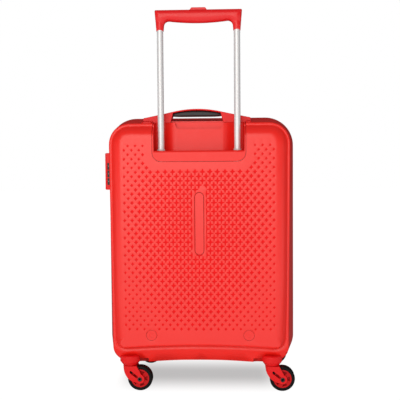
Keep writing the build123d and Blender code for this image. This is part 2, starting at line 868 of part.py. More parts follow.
# Two zip sliders, docked beside the lock, each with a pull tab on a pin
pin_x = -rim_half_width - pin_proud
inner_plate_x = -rim_half_width + wall + tape_thickness + slider_inner_gap + slider_inner_plate / 2
web_x = (inner_plate_x - rim_half_width) / 2
web_length = inner_plate_x + rim_half_width
lug_x = pin_x - pull_thickness / 2 + pin_lug_size / 2
with BuildPart() as zip_sliders:
    for level in slider_z:
        with Locations((-rim_half_width, 0, level)):
            Box(slider_plate, 2 * slider_half_width, slider_length)
        with Locations((inner_plate_x, 0, level)):
            Box(slider_inner_plate, 2 * slider_half_width, slider_length)
        with Locations((web_x, 0, level)):
            Box(web_length, 2 * slider_web_half, slider_length)
        with Locations((lug_x, -pin_lug_y, level), (lug_x, pin_lug_y, level)):
            Box(pin_lug_size, pin_lug_width, pin_lug_size)
        with Locations((pin_x, 0, level)):
            Cylinder(pull_pin_radius, pin_length, rotation=(90, 0, 0))
save(zip_sliders.part, "zip_sliders")

for name, level, towards in (("zip_pull_lower", slider_z[0], 1), ("zip_pull_upper", slider_z[1], -1)):
    with BuildPart() as zip_pull:
        with BuildSketch(Plane.YZ.offset(pin_x - pull_thickness / 2)):
            with Locations((0, level + towards * (pull_length / 2 - pull_reach))):
                RectangleRounded(pull_width, pull_length, pull_round)
            with Locations((0, level + towards * (pull_length - 3 * pull_reach))):
                Circle(pull_hole_radius, mode=Mode.SUBTRACT)
        extrude(amount=pull_thickness)
        with Locations((pin_x, 0, level)):
            Cylinder(
                pull_pin_radius + running_slack, pin_length, rotation=(90, 0, 0), mode=Mode.SUBTRACT
            )
    save(zip_pull.part, name)

# Linings: a panel over the tubes in the back half and one against the face of the front half
lining_depth = 72.0
lining_thickness = 1.5
lining_gap = 0.6
with BuildPart() as back_lining:
    with BuildSketch(Plane.XZ.offset(lining_depth)):
        add(wall_section(lining_depth + lining_thickness, wall + lining_gap))
    extrude(amount=lining_thickness)
    add(wheel_wells(wall + lining_gap), mode=Mode.SUBTRACT)
save(back_lining.part, "back_lining")
front_lining_depth = 86.0
with BuildPart() as front_lining:
    with BuildSketch(Plane.XZ.offset(-front_lining_depth)):
        add(wall_section(front_lining_depth + lining_thickness, wall + lining_gap))
    extrude(amount=-lining_thickness)
    add(wheel_wells(wall + lining_gap).rotate(Axis.Z, 180), mode=Mode.SUBTRACT)
save(front_lining.part, "front_lining")

# Crossed packing straps on the back lining, joined by a buckle in the middle
strap_width = 25.0
strap_height = 1.2
strap_reach_x = 140.0
strap_low_z = 150.0
strap_high_z = 400.0
buckle_z = (strap_low_z + strap_high_z) / 2
strap_angle = Vector(strap_reach_x, strap_high_z - buckle_z, 0).get_signed_angle(Vector(1, 0, 0))
strap_length = 2 * (strap_reach_x ** 2 + (strap_high_z - buckle_z) ** 2) ** 0.5
with BuildPart() as packing_straps:
    with BuildSketch(Plane.XZ.offset(lining_depth - strap_height)):
        with Locations((0, buckle_z)):
            Rectangle(strap_length, strap_width, rotation=strap_angle)
            Rectangle(strap_length, strap_width, rotation=-strap_angle)
    extrude(amount=strap_height)
save(packing_straps.part, "packing_straps")
buckle_height = 7.0
buckle_width = 46.0
buckle_length = 38.0
buckle_round = 8.0
buckle_edge = 1.5
with BuildPart() as strap_buckle:
    with BuildSketch(Plane.XZ.offset(lining_depth - strap_height - buckle_height)):
        with Locations((0, buckle_z)):
            RectangleRounded(buckle_width, buckle_length, buckle_round)
    extrude(amount=buckle_height)
    chamfer(strap_buckle.edges().group_by(Axis.Y)[-1], buckle_edge)
save(strap_buckle.part, "strap_buckle")


def corner_pair(build, first, second):
    """The same piece at two corners of the case, as one node of two solids."""
    with BuildPart() as pair:
        add(build(*first))
        add(build(*second))
    return pair.part


def caster_housing(x, y):
    """Flared boss under the roof of a wheel well, which stands out below the skirt."""
    with BuildPart() as housing:
        with BuildSketch(Plane((x, y, 0), x_dir=(1, 0, 0), z_dir=(0, -1, 0))):
            with BuildLine():
                Polyline(
                    (0, neck_z), (neck_radius, neck_z), (boss_radius, boss_z),
                    (boss_radius, boss_top - boss_edge), (boss_radius - boss_edge, boss_top),
                    (0, boss_top),
                    close=True,
                )
            make_face()
        revolve(axis=Axis((x, y, 0), (0, 0, 1)))
        add(outer_form if y < 0 else front_form, mode=Mode.SUBTRACT)
        with Locations((x, y, pin_top)):
            Cylinder(
                pin_radius, through, align=(Align.CENTER, Align.CENTER, Align.MAX), mode=Mode.SUBTRACT
            )
    return housing.part


def swivel_pin(x, y):
    """Steel pin fixed in the boss, which the fork turns on."""
    with BuildPart() as pin:
        with Locations((x, y, pin_bottom)):
            Cylinder(
                pin_radius, pin_top - pin_bottom, align=(Align.CENTER, Align.CENTER, Align.MIN)
            )
    return pin.part


for half in ("back", "front"):
    left = caster_corners[f"{half}_left"]
    right = caster_corners[f"{half}_right"]
    save(corner_pair(caster_housing, left, right), f"{half}_caster_housings")
    save(corner_pair(swivel_pin, left, right), f"{half}_swivel_pins")

fork_top = neck_z - neck_gap
for corner, (x, y) in caster_corners.items():
    axle_x = x + trail
    # Fork: two slanted arms under a round neck, hollowed for the wheel
    shoulder = (x - neck_radius + arm_shoulder_inset, neck_z - arm_shoulder_drop)
    arm_back_end = (axle_x - arm_end_back, wheel_radius - arm_end_low)
    arm_front_end = (axle_x + arm_end_front, wheel_radius + arm_end_high)
    with BuildPart() as fork:
        with BuildSketch(Plane.XZ.offset(-y - arm_outer)):
            with BuildLine():
                Polyline((x + neck_radius, fork_top), (x - neck_radius, fork_top), shoulder)
                ThreePointArc(shoulder, (x + arm_back[0], arm_back[1]), arm_back_end)
                ThreePointArc(arm_back_end, (axle_x + arm_end_radius, wheel_radius), arm_front_end)
                Line(arm_front_end, (x + neck_radius, fork_top))
            make_face()
        extrude(amount=2 * arm_outer)
        with BuildSketch():
            with Locations((x, y)):
                Circle(arm_outer)
            with Locations(((x - fork_back + axle_x + fork_front) / 2, y)):
                Rectangle(trail + fork_back + fork_front, 2 * arm_outer)
        extrude(amount=neck_z, mode=Mode.INTERSECT)
        with Locations((axle_x, y, wheel_radius)):
            Cylinder(
                wheel_radius + wheel_gap, 2 * arm_inner, rotation=(90, 0, 0), mode=Mode.SUBTRACT
            )
            Cylinder(axle_radius, through, rotation=(90, 0, 0), mode=Mode.SUBTRACT)
        with BuildSketch(Plane.XZ.offset(-y - 2 * arm_outer)):
            with Locations((x + arm_slot_place[0], neck_z + arm_slot_place[1])):
                SlotOverall(arm_slot_length, arm_slot_width, rotation=-45)
        extrude(amount=4 * arm_outer, mode=Mode.SUBTRACT)
        with Locations((x, y, neck_z)):
            Cylinder(
                pin_radius + running_slack, 2 * (neck_z - pin_bottom + pin_end_gap),
                mode=Mode.SUBTRACT,
            )
    save(fork.part, f"caster_fork_{corner}")

    # Hollow rivet through both arms
    with BuildPart() as axle:
        with BuildSketch(Plane.XZ.offset(-y - arm_outer - rivet_flange)):
            with Locations((axle_x, wheel_radius)):
                Circle(axle_radius)
        extrude(amount=2 * (arm_outer + rivet_flange))
        for head_plane in (-y + arm_outer, -y - arm_outer - rivet_flange):
            with BuildSketch(Plane.XZ.offset(head_plane)):
                with Locations((axle_x, wheel_radius)):
                    Circle(axle_radius + rivet_flange)
            extrude(amount=rivet_flange)
        with Locations((axle_x, y, wheel_radius)):
            Cylinder(rivet_bore_radius, through, rotation=(90, 0, 0), mode=Mode.SUBTRACT)
    save(axle.part, f"caster_axle_{corner}")

    # Wheel hub with pockets on both faces
    with BuildPart() as hub:
        with BuildSketch(Plane.XZ.offset(-y - hub_half_width)):
            with Locations((axle_x, wheel_radius)):
                Circle(hub_radius)
                Circle(axle_radius + running_slack, mode=Mode.SUBTRACT)
        extrude(amount=2 * hub_half_width)
        for face_plane in (-y - hub_half_width, -y + hub_half_width - pocket_depth):
            with BuildSketch(Plane.XZ.offset(face_plane)):
                with Locations((axle_x, wheel_radius)):
                    with PolarLocations(pocket_ring, pocket_count):
                        Trapezoid(pocket_width, pocket_length, pocket_angle, rotation=90)
            extrude(amount=pocket_depth, mode=Mode.SUBTRACT)
    save(hub.part, f"wheel_hub_{corner}")

    with BuildPart() as tyre:
        with BuildSketch(Plane.XZ.offset(-y - tyre_half_width)):
            with Locations((axle_x, wheel_radius)):
                Circle(wheel_radius)
                Circle(hub_radius, mode=Mode.SUBTRACT)
        extrude(amount=2 * tyre_half_width)
        rounds = tyre.edges().filter_by(GeomType.CIRCLE).group_by(SortBy.RADIUS)[-1]
        chamfer(rounds, tyre_edge)
    save(tyre.part, f"tyre_{corner}")
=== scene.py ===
# Cabin suitcase with a hard shell in two halves, four swivel casters and a telescopic pull handle.
# Metres, +Z up. The back face with the pull handle looks to -Y and the halves part at Y = 0.
import json
import math
import bmesh
import bpy
from mathutils import Matrix, Vector
from mathutils.geometry import delaunay_2d_cdt
from mathutils.kdtree import KDTree

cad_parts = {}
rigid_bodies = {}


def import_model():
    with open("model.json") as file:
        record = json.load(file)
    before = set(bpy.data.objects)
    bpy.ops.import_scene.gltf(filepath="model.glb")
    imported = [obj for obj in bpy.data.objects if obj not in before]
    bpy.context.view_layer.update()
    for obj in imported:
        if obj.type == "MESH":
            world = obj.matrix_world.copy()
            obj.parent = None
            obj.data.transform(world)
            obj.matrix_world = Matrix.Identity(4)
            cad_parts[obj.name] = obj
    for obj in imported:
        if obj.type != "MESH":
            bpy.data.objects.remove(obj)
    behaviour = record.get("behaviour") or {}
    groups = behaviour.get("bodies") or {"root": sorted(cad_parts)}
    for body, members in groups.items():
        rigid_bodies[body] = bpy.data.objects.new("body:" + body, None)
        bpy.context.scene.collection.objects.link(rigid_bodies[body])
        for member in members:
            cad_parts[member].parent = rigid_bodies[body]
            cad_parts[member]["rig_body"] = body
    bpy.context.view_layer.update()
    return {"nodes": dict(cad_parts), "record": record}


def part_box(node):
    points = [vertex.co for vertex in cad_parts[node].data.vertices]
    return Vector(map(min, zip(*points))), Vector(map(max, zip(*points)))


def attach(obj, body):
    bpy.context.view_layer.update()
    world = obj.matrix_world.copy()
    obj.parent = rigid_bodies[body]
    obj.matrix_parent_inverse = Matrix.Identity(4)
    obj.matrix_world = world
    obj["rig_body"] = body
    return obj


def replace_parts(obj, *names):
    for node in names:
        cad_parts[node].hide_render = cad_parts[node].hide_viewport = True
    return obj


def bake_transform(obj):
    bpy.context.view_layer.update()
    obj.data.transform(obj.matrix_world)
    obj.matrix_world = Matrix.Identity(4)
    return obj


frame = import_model()

# Shells: two pressed halves of red polypropylene, 2.5 mm thick, with a satin skin. The face swells
# softly out of a beaded ridge and has a field of four-pointed dimples, largest in the middle and
# small diamonds at the edges. They are pressed into the skin, so each dimple is a real pocket.
cad = frame["nodes"]
node_slot = {row["node"]: row["material_slot"] for row in frame["record"]["subparts"]}


def effect_group(name, *more_values):
    """A shader node group that makes colour, roughness and height from two colours and some values."""
    group = bpy.data.node_groups.new(name, "ShaderNodeTree")
    sockets = (
        ("INPUT", "NodeSocketColor", ("Color", "Deep Color")),
        ("INPUT", "NodeSocketFloat", ("Roughness", *more_values)),
        ("OUTPUT", "NodeSocketColor", ("Color",)),
        ("OUTPUT", "NodeSocketFloat", ("Roughness", "Height")),
    )
    for direction, kind, labels in sockets:
        for label in labels:
            group.interface.new_socket(label, in_out=direction, socket_type=kind)
    return group, group.nodes.new("NodeGroupInput").outputs, group.nodes.new("NodeGroupOutput").inputs


def node(tree, kind, **settings):
    """A new shader node with its properties set."""
    made = tree.nodes.new(kind)
    for key, value in settings.items():
        setattr(made, key, value)
    return made


def math_node(tree, operation, first, second=0.0):
    """A math node whose inputs are sockets or numbers."""
    made = node(tree, "ShaderNodeMath", operation=operation)
    for slot, value in zip(made.inputs, (first, second)):
        if isinstance(value, (int, float)):
            slot.default_value = value
        else:
            tree.links.new(value, slot)
    return made.outputs[0]


def noise(tree, place, scale, detail):
    """A noise texture's value at a place, with a scale that is a number or a socket."""
    made = node(tree, "ShaderNodeTexNoise")
    made.inputs["Detail"].default_value = detail
    tree.links.new(place, made.inputs["Vector"])
    if isinstance(scale, (int, float)):
        made.inputs["Scale"].default_value = scale
    else:
        tree.links.new(scale, made.inputs["Scale"])
    return made.outputs[0]


def mix_color(tree, amount, first, second):
    """A blend of two colours by an amount."""
    made = node(tree, "ShaderNodeMix", data_type="RGBA")
    tree.links.new(amount, made.inputs[0])
    tree.links.new(first, made.inputs[6])
    tree.links.new(second, made.inputs[7])
    return made.outputs[2]


def varied_roughness(tree, pattern, inlets):
    """A group's roughness, moved up and down by a pattern within its spread."""
    swing = math_node(tree, "MULTIPLY", math_node(tree, "SUBTRACT", pattern, 0.5), inlets["Spread"])
    return math_node(tree, "ADD", inlets["Roughness"], swing)


def put_out(tree, outlets, color, roughness, height):
    """Links the results of an effect to the outputs of its group."""
    for label, result in (("Color", color), ("Roughness", roughness), ("Height", height)):
        tree.links.new(result, outlets[label])


# Moulded skin: slow colour drift, patchy gloss and a fine spark-eroded grain
moulded_skin, skin_in, skin_out = effect_group("moulded_skin", "Spread", "Grain Scale")
place = node(moulded_skin, "ShaderNodeTexCoord").outputs["Object"]
drift = noise(moulded_skin, place, 11.0, 3.0)
patches = noise(moulded_skin, place, 70.0, 4.0)
put_out(
    moulded_skin, skin_out,
    mix_color(moulded_skin, drift, skin_in["Color"], skin_in["Deep Color"]),
    varied_roughness(moulded_skin, patches, skin_in),
    noise(moulded_skin, place, skin_in["Grain Scale"], 2.0),
)


def surface(name, group, color, deep, values, bump_depth, bump_strength, **shader_values):
    """A material: one effect group feeds the shader's colour, roughness and bump."""
    material = bpy.data.materials.new(name)
    material.use_nodes = True
    material.diffuse_color = (*color, 1)
    tree = material.node_tree
    shader = tree.nodes["Principled BSDF"]
    effect = node(tree, "ShaderNodeGroup", node_tree=group)
    effect.inputs["Color"].default_value = (*color, 1)
    effect.inputs["Deep Color"].default_value = (*deep, 1)
    for label, value in values.items():
        effect.inputs[label].default_value = value
    bump = node(tree, "ShaderNodeBump")
    bump.inputs["Strength"].default_value = bump_strength
    bump.inputs["Distance"].default_value = bump_depth
    tree.links.new(effect.outputs["Color"], shader.inputs["Base Color"])
    tree.links.new(effect.outputs["Roughness"], shader.inputs["Roughness"])
    tree.links.new(effect.outputs["Height"], bump.inputs["Height"])
    tree.links.new(bump.outputs["Normal"], shader.inputs["Normal"])
    for label, value in shader_values.items():
        shader.inputs[label.replace("_", " ")].default_value = value
    return material


def red_plastic(name, color, deep, roughness, grain_scale, gloss=0.55):
    """Moulded red plastic with the given gloss and grain."""
    values = {"Roughness": roughness, "Spread": 0.12, "Grain Scale": grain_scale}
    return surface(
        name, moulded_skin, color, deep, values, bump_depth=0.00006, bump_strength=0.5,
        Specular_IOR_Level=gloss,
    )


shell_red = red_plastic("shell_red_satin", (0.83, 0.015, 0.008), (0.79, 0.012, 0.007), 0.32, 1400.0)
# Dimple walls and floors: a slightly deeper red than the face, as painted shade in the pockets, and less
# gloss.
dimple_shade_red = red_plastic("dimple_shade_red", (0.80, 0.005, 0.006), (0.74, 0.004, 0.005), 0.50, 1400.0, gloss=0.12)
# Seat walls under the middle plate and the screw caps: a dark red that is painted shade.
seat_painted_shade_red = red_plastic("seat_shadow_red", (0.34, 0.016, 0.012), (0.28, 0.012, 0.009), 0.6, 1400.0, gloss=0.1)
dimple_index, seat_index = 1, 2

# Depths from the parting plane, the drop of the skirt's ends, and the ridge outside the walls' draft
face_depth, ridge_depth, collar_depth = 0.120, 0.105, 0.016
arch_radius, arc_steps = 1.9825, 24
skirt_ends = (0.030, 0.100)
skirt_low, skirt_high, skirt_drop = 0.044, 0.064, 0.0038
ridge_side, ridge_top, ridge_bottom = 0.1680, 0.5127, 0.0855
ridge_top_radius, ridge_bottom_radius, ridge_spacing = 0.0385, 0.0260, 0.005
ridge_size = (ridge_side, ridge_top, ridge_bottom, ridge_top_radius, ridge_bottom_radius)
ridge_out, ridge_up, ridge_down = 0.0037, 0.0019, 0.0035
side_rise, side_reach = (0.060, 0.240), (0.105, 0.150)
top_rise = (0.460, 0.505)
bottom_rise, bottom_end = (0.050, 0.085), (0.088, 0.102)

# Bead, groove and swell inside the ridge, with the shares of their width at which the skin has points
crest_width = 0.0018
groove_side, groove_bottom, groove_depth = 0.0056, 0.0066, 0.0008
swell_side, swell_bottom, swell_curve = 0.0225, 0.0075, 2.4
bottom_lean = 0.8
groove_shares = (0.18, 0.34, 0.46, 0.58, 0.70, 0.82, 0.92, 1.0)
swell_shares = (0.04, 0.10, 0.18, 0.28, 0.40, 0.54, 0.70, 0.86, 1.0, 1.06)
crowded_share, edge_band = 0.6, 0.036
ring_slip, ring_clear = 0.0004, 0.0008

# Lattice of the dimples, and the shape of one
half_column, half_row = 0.007026, 0.008265
middle_x, first_row_z = -0.0003, 0.4720
side_columns, last_row = 20, 42
field_middle_z, field_half_width, field_half_height = 0.318, 0.150, 0.212
star_reach_x, star_reach_z, star_tip = 0.0060, 0.0068, 0.09
star_waist, diamond_waist = 0.25, 0.20
diamond_share, shrink_curve = 0.41, 2.3
star_depth, star_floor = 0.0010, 0.84
star_clear, swell_overlap = 0.0010, 0.002

# Seats of the tray, the middle plate and the screw caps, and the plain margins beside them
tray_half_width, tray_bottom = 0.0882, 0.4418
tray_clear_side, tray_clear_below, tray_clear_corner = 0.012, 0.0185, 0.013
plate_column, plate_clip_x, plate_clip_z = 2, 0.0129, (0.258, 0.392)
seat_half_width, seat_least_depth = 0.0095, 0.0002
# Depths below the face at which the seats' walls take the painted shade
seat_shadow = (0.0001, 0.0032)
cap_x, cap_z, cap_seat_radius = 0.0924, 0.1128, 0.0106
weld_distance, depth_slack, face_slope = 1e-6, 2e-5, 0.2


def arc_points(x, z, radius, start, end):
    """Points on an arc in the plane of the rim, angles in degrees."""
    turns = [math.radians(start + (end - start) * i / arc_steps) for i in range(arc_steps + 1)]
    return [(x + radius * math.cos(turn), z + radius * math.sin(turn)) for turn in turns]


def case_path(side, top, bottom, top_radius, bottom_radius, spacing):
    """Evenly spaced places round an outline of the case, each with its outward direction."""
    corner_x = side - bottom_radius
    reach = arch_radius + bottom_radius
    corner_z = bottom - arch_radius + math.sqrt(reach ** 2 - corner_x ** 2)
    lean = math.degrees(math.asin(corner_x / reach))
    corners = arc_points(side - top_radius, top - top_radius, top_radius, 0, 90)
    corners += arc_points(top_radius - side, top - top_radius, top_radius, 90, 180)
    corners += arc_points(-corner_x, corner_z, bottom_radius, 180, 270 + lean)
    corners += arc_points(0, bottom - arch_radius, arch_radius, 90 + lean, 90 - lean)
    corners += arc_points(corner_x, corner_z, bottom_radius, 270 - lean, 360)
    corners.append(corners[0])
    legs = [(Vector(a), Vector(b)) for a, b in zip(corners, corners[1:]) if a != b]
    total = sum((b - a).length for a, b in legs)
    count = round(total / spacing)
    places = []
    passed = 0.0
    for a, b in legs:
        length = (b - a).length
        while len(places) < count and passed + length > len(places) * total / count:
            spot = a.lerp(b, (len(places) * total / count - passed) / length)
            run = (b - a).normalized()
            places.append((spot, Vector((run.y, -run.x))))
        passed += length
    return places


def share_between(value, low, high):
    """How far a value has come from the low value to the high one, from 0 to 1."""
    return min(max((value - low) / (high - low), 0.0), 1.0)


def smooth_share(value, low, high):
    """A soft step from 0 at the low value to 1 at the high one."""
    share = share_between(value, low, high)
    return share * share * (3 - 2 * share)


def swell_widths(out):
    """Width of the groove inside the ridge and of the soft rise to the face, narrow along the bottom."""
    downward = smooth_share(-out.y, 0.0, bottom_lean)
    groove = groove_side + (groove_bottom - groove_side) * downward
    return groove, swell_side + (swell_bottom - swell_side) * downward


def face_height(inset, groove, swell):
    """How far the face stands out of the ridge plane at a distance inside the ridge."""
    if inset < groove:
        across = max(inset - crest_width, 0.0) / (groove - crest_width)
        return -groove_depth * (0.5 - 0.5 * math.cos(2 * math.pi * across))
    left = 1 - min((inset - groove) / swell, 1.0)
    return (face_depth - ridge_depth) * (1 - left ** swell_curve)


def ridge_move(x, z):
    """How far the ridge stands outside the plain draft of the walls, across and up."""
    across = math.copysign(ridge_out, x) * smooth_share(z, *side_rise) * smooth_share(abs(x), *side_reach)
    up = ridge_up * smooth_share(z, *top_rise)
    down = ridge_down * smooth_share(z, *bottom_rise) * (1 - smooth_share(z, *bottom_end))
    return Vector((across, up - down))


ridge_path = [
    (spot + ridge_move(spot.x, spot.y), out) for spot, out in case_path(*ridge_size, ridge_spacing)
]
ridge_places = KDTree(len(ridge_path))
for index, (spot, out) in enumerate(ridge_path):
    ridge_places.insert((spot.x, spot.y, 0), index)
ridge_places.balance()


def ridge_inset(x, z):
    """Distance of a place inside the ridge, and the outward direction there."""
    spot, out = ridge_path[ridge_places.find((x, z, 0))[1]]
    return (spot - Vector((x, z))).dot(out), out


def stand_out(x, z):
    """Distance of the outer skin from the parting plane, from the ridge to the face."""
    inset, out = ridge_inset(x, z)
    return ridge_depth + face_height(inset, *swell_widths(out))


def beside_tray(x, z):
    """Whether a place lies in the plain margin round the handle tray."""
    across = max(abs(x) - tray_half_width, 0.0)
    below = max(tray_bottom - z, 0.0)
    if across > 0 and below > 0:
        return math.hypot(across, below) < tray_clear_corner
    return across < tray_clear_side and below < tray_clear_below


def over_seat(place):
    """Whether a place on the back lies over the seat of the middle plate or of a screw cap."""
    in_plate = abs(place.x) < seat_half_width and plate_clip_z[0] < place.z < plate_clip_z[1]
    return in_plate or math.hypot(abs(place.x) - cap_x, place.z - cap_z) < cap_seat_radius


def star_outline(x, z):
    """Corner points of one dimple, a tapered cross that turns into a diamond as it shrinks."""
    away = math.hypot(x / field_half_width, (z - field_middle_z) / field_half_height)
    size = 1 - (1 - diamond_share) * min(away, 1.0) ** shrink_curve
    waist = star_waist + diamond_waist * (1 - size) / (1 - diamond_share)
    quarter = ((1, 0, 0, star_tip), (waist, waist, 0, 0), (0, 1, star_tip, 0))
    points = []
    for sign_x, sign_z, order in ((1, 1, 1), (-1, 1, -1), (-1, -1, 1), (1, -1, -1)):
        for across, up, tip_x, tip_z in quarter[::order]:
            reach_x = sign_x * (across + tip_x) * star_reach_x * size
            reach_z = sign_z * (up + tip_z) * star_reach_z * size
            points.append((x + reach_x, z + reach_z))
    return points


def edge_loops(edges):
    """The closed loops of vertices that a set of boundary edges forms."""
    neighbours = {}
    for edge in edges:
        first, second = edge.verts
        neighbours.setdefault(first, []).append(second)
        neighbours.setdefault(second, []).append(first)
    loops = []
    while neighbours:
        start = next(iter(neighbours))
        loop = [start]
        here = start
        while True:
            ahead = neighbours[here].pop()
            neighbours[ahead].remove(here)
            if ahead is start:
                break
            loop.append(ahead)
            here = ahead
        loops.append(loop)
        neighbours = {vertex: near for vertex, near in neighbours.items() if near}
    return loops


def signed_area(points):
    """Area of a polygon, positive where it runs anticlockwise."""
    following = points[1:] + points[:1]
    return sum(a[0] * b[1] - b[0] * a[1] for a, b in zip(points, following)) / 2


def clear_of(points, outlines, margin):
    """Whether all points keep a margin to the outlines' segments."""
    for outline in outlines:
        for a, b in zip(outline, outline[1:] + outline[:1]):
            run = Vector(b) - Vector(a)
            length = run.length_squared
            for point in points:
                start = Vector(point) - Vector(a)
                along = min(max(start.dot(run) / length, 0.0), 1.0) if length > 0 else 0.0
                if (start - run * along).length < margin:
                    return False
    return True


def inside(point, outline):
    """Whether a point lies inside an outline."""
    x, z = point
    hit = False
    for (ax, az), (bx, bz) in zip(outline, outline[1:] + outline[:1]):
        if (az > z) != (bz > z) and x < (bx - ax) * (z - az) / (bz - az) + ax:
            hit = not hit
    return hit


def filled(loops, loose_points):
    """Fills the first loop but not the others, by way of loose points: points, triangles and loops."""
    points = [Vector(point) for loop in loops for point in loop]
    rings = []
    start = 0
    for loop in loops:
        rings.append(list(range(start, start + len(loop))))
        start += len(loop)
    points += [Vector(point) for point in loose_points]
    flat, _, triangles, sources, _, owners = delaunay_2d_cdt(points, [], rings, 1, 1e-8)
    found = {origin: index for index, origins in enumerate(sources) for origin in origins}
    kept = [triangle for triangle, owner in zip(triangles, owners) if owner == [0]]
    return flat, kept, [[found[origin] for origin in ring] for ring in rings]


def finished_mesh(name, solid):
    """Turns an edited copy into a mesh."""
    mesh = bpy.data.meshes.new(name)
    solid.to_mesh(mesh)
    solid.free()
    return mesh


def shown(name, solid, slot, *materials, crease=32.0):
    """A new object of an edited mesh, shaded smooth with crisp edges."""
    mesh = finished_mesh(name, solid)
    mesh.shade_smooth()
    mesh.set_sharp_from_angle(angle=math.radians(crease))
    for material in materials:
        mesh.materials.append(material)
    made = bpy.data.objects.new(name, mesh)
    bpy.context.scene.collection.objects.link(made)
    return made


def piece(name, solid, body, slot, *materials, crease=32.0):
    """A new object that rides on a body, with its shading evened."""
    made = shown(name, solid, slot, *materials, crease=crease)
    even = made.modifiers.new("even_shading", "WEIGHTED_NORMAL")
    even.keep_sharp = True
    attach(made, body)
    return made


def stand_in(name, ending, solid, *materials, crease=32.0):
    """A piece that shows in place of a CAD piece, on its body."""
    body = cad[name]["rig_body"]
    made = piece(name + ending, solid, body, node_slot[name], *materials, crease=crease)
    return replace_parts(made, name)


def welded_copy(name):
    """The CAD piece's mesh as an editable copy with its seams welded."""
    solid = bmesh.new()
    solid.from_mesh(cad[name].data)
    bmesh.ops.remove_doubles(solid, verts=solid.verts, dist=weld_distance)
    return solid


def shape_walls(solid):
    """Draws the ends of the skirt down and the walls out to the ridge."""
    for vertex in solid.verts:
        x, y, z = vertex.co
        downward = share_between(z, skirt_high, skirt_low)
        vertex.co.z -= skirt_drop * smooth_share(abs(x), *skirt_ends) * downward
        move = ridge_move(x, z) * share_between(abs(y), collar_depth, ridge_depth)
        vertex.co.x += move.x
        vertex.co.z += move.y


def on_face(face, side):
    """Whether a face of the shell lies inside the ridge and isn't the floor of a seat."""
    middle = face.calc_center_median()
    if middle.y * side < face_depth - seat_least_depth and over_seat(middle):
        return False
    lowest = min(vertex.co.y * side for vertex in face.verts)
    return face.normal.y * side > face_slope and lowest > ridge_depth - depth_slack


def star_field(outlines, first_row, plate):
    """Middles and outlines of the dimples that have room on the face."""
    stars = []
    for row in range(first_row, last_row + 1):
        for column in range(-side_columns, side_columns + 1):
            if (row + column) % 2 == 0:
                continue
            x = middle_x + column * half_column
            z = first_row_z - row * half_row
            points = star_outline(x, z)
            if plate and abs(column) == plate_column and plate_clip_z[0] < z < plate_clip_z[1]:
                points = [(math.copysign(max(abs(px), plate_clip_x), column), pz) for px, pz in points]
            inset, out = ridge_inset(x, z)
            if inset < sum(swell_widths(out)) - swell_overlap or (plate and beside_tray(x, z)):
                continue
            if clear_of(points, outlines, star_clear):
                stars.append(((x, z), points))
    return stars


def swell_points(outlines, stars):
    """Points on rings inside the ridge, close together where the skin bends most."""
    edge_stars = [star for (x, z), star in stars if ridge_inset(x, z)[0] < edge_band]
    rings = [(share, 0.0) for share in groove_shares] + [(1.0, share) for share in swell_shares]
    points = []
    for groove_share, swell_share in rings:
        crowd = outlines + edge_stars if swell_share > crowded_share else outlines
        for spot, out in ridge_path:
            groove, swell = swell_widths(out)
            place = spot - out * (groove * groove_share + swell * swell_share)
            apart = abs(ridge_inset(*place)[0] - (spot - place).length)
            if apart < ring_slip and inside(place, outlines[0]) and clear_of([place], crowd, ring_clear):
                points.append(tuple(place))
    return points


def outer_face(solid, corners, side):
    """A face of the skin that looks outward on its half."""
    return solid.faces.new(corners if side < 0 else corners[::-1])


def press_star(solid, rim, middle, star, side):
    """The sloping walls and the floor of one dimple."""
    x, z = middle
    floor_y = side * (face_depth - star_depth)
    floor = [
        solid.verts.new((x + (px - x) * star_floor, floor_y, z + (pz - z) * star_floor)) for px, pz in star
    ]
    for i in range(len(rim)):
        k = (i + 1) % len(rim)
        outer_face(solid, [rim[i], rim[k], floor[k], floor[i]], side).material_index = dimple_index
    outer_face(solid, floor, side).material_index = dimple_index


def shade_seats(solid):
    """Paints the walls of the plate's and the caps' seats a darker red, as painted shade in their narrow
    gaps.
    """
    for face in solid.faces:
        middle = face.calc_center_median()
        below = middle.y + face_depth
        if face.material_index == 0 and over_seat(middle) and seat_shadow[0] < below < seat_shadow[1]:
            face.material_index = seat_index


def dimpled_shell(name, side, first_row, plate):
    """A shell whose face is taken off and made again with the swell and the field of dimples."""
    solid = welded_copy(name)
    shape_walls(solid)
    plain_face = [face for face in solid.faces if on_face(face, side)]
    taken = set(plain_face)
    border = [edge for edge in solid.edges if sum(face in taken for face in edge.link_faces) == 1]
    loops = edge_loops(border)
    for vertex in (vertex for loop in loops for vertex in loop):
        vertex.co.y = side * stand_out(vertex.co.x, vertex.co.z)
    outlines = [[(vertex.co.x, vertex.co.z) for vertex in loop] for loop in loops]
    outlines = [loop if signed_area(loop) > 0 else loop[::-1] for loop in outlines]
    outlines.sort(key=signed_area, reverse=True)
    bmesh.ops.delete(solid, geom=plain_face, context="FACES")
    stars = star_field(outlines, first_row, plate)
    star_rims = [star for middle, star in stars]
    flat, triangles, rings = filled(outlines + star_rims, swell_points(outlines, stars))
    skin = [solid.verts.new((spot.x, side * stand_out(spot.x, spot.y), spot.y)) for spot in flat]
    for triangle in triangles:
        outer_face(solid, [skin[i] for i in triangle], side)
    for ring, (middle, star) in zip(rings[len(outlines):], stars):
        press_star(solid, [skin[i] for i in ring], middle, star, side)
    bmesh.ops.remove_doubles(solid, verts=solid.verts, dist=weld_distance)
    if plate:
        shade_seats(solid)
    stand_in(name, "_skin", solid, shell_red, dimple_shade_red, seat_painted_shade_red)


dimpled_shell("back_shell", side=-1, first_row=0, plate=True)
dimpled_shell("front_shell", side=1, first_row=-5, plate=False)

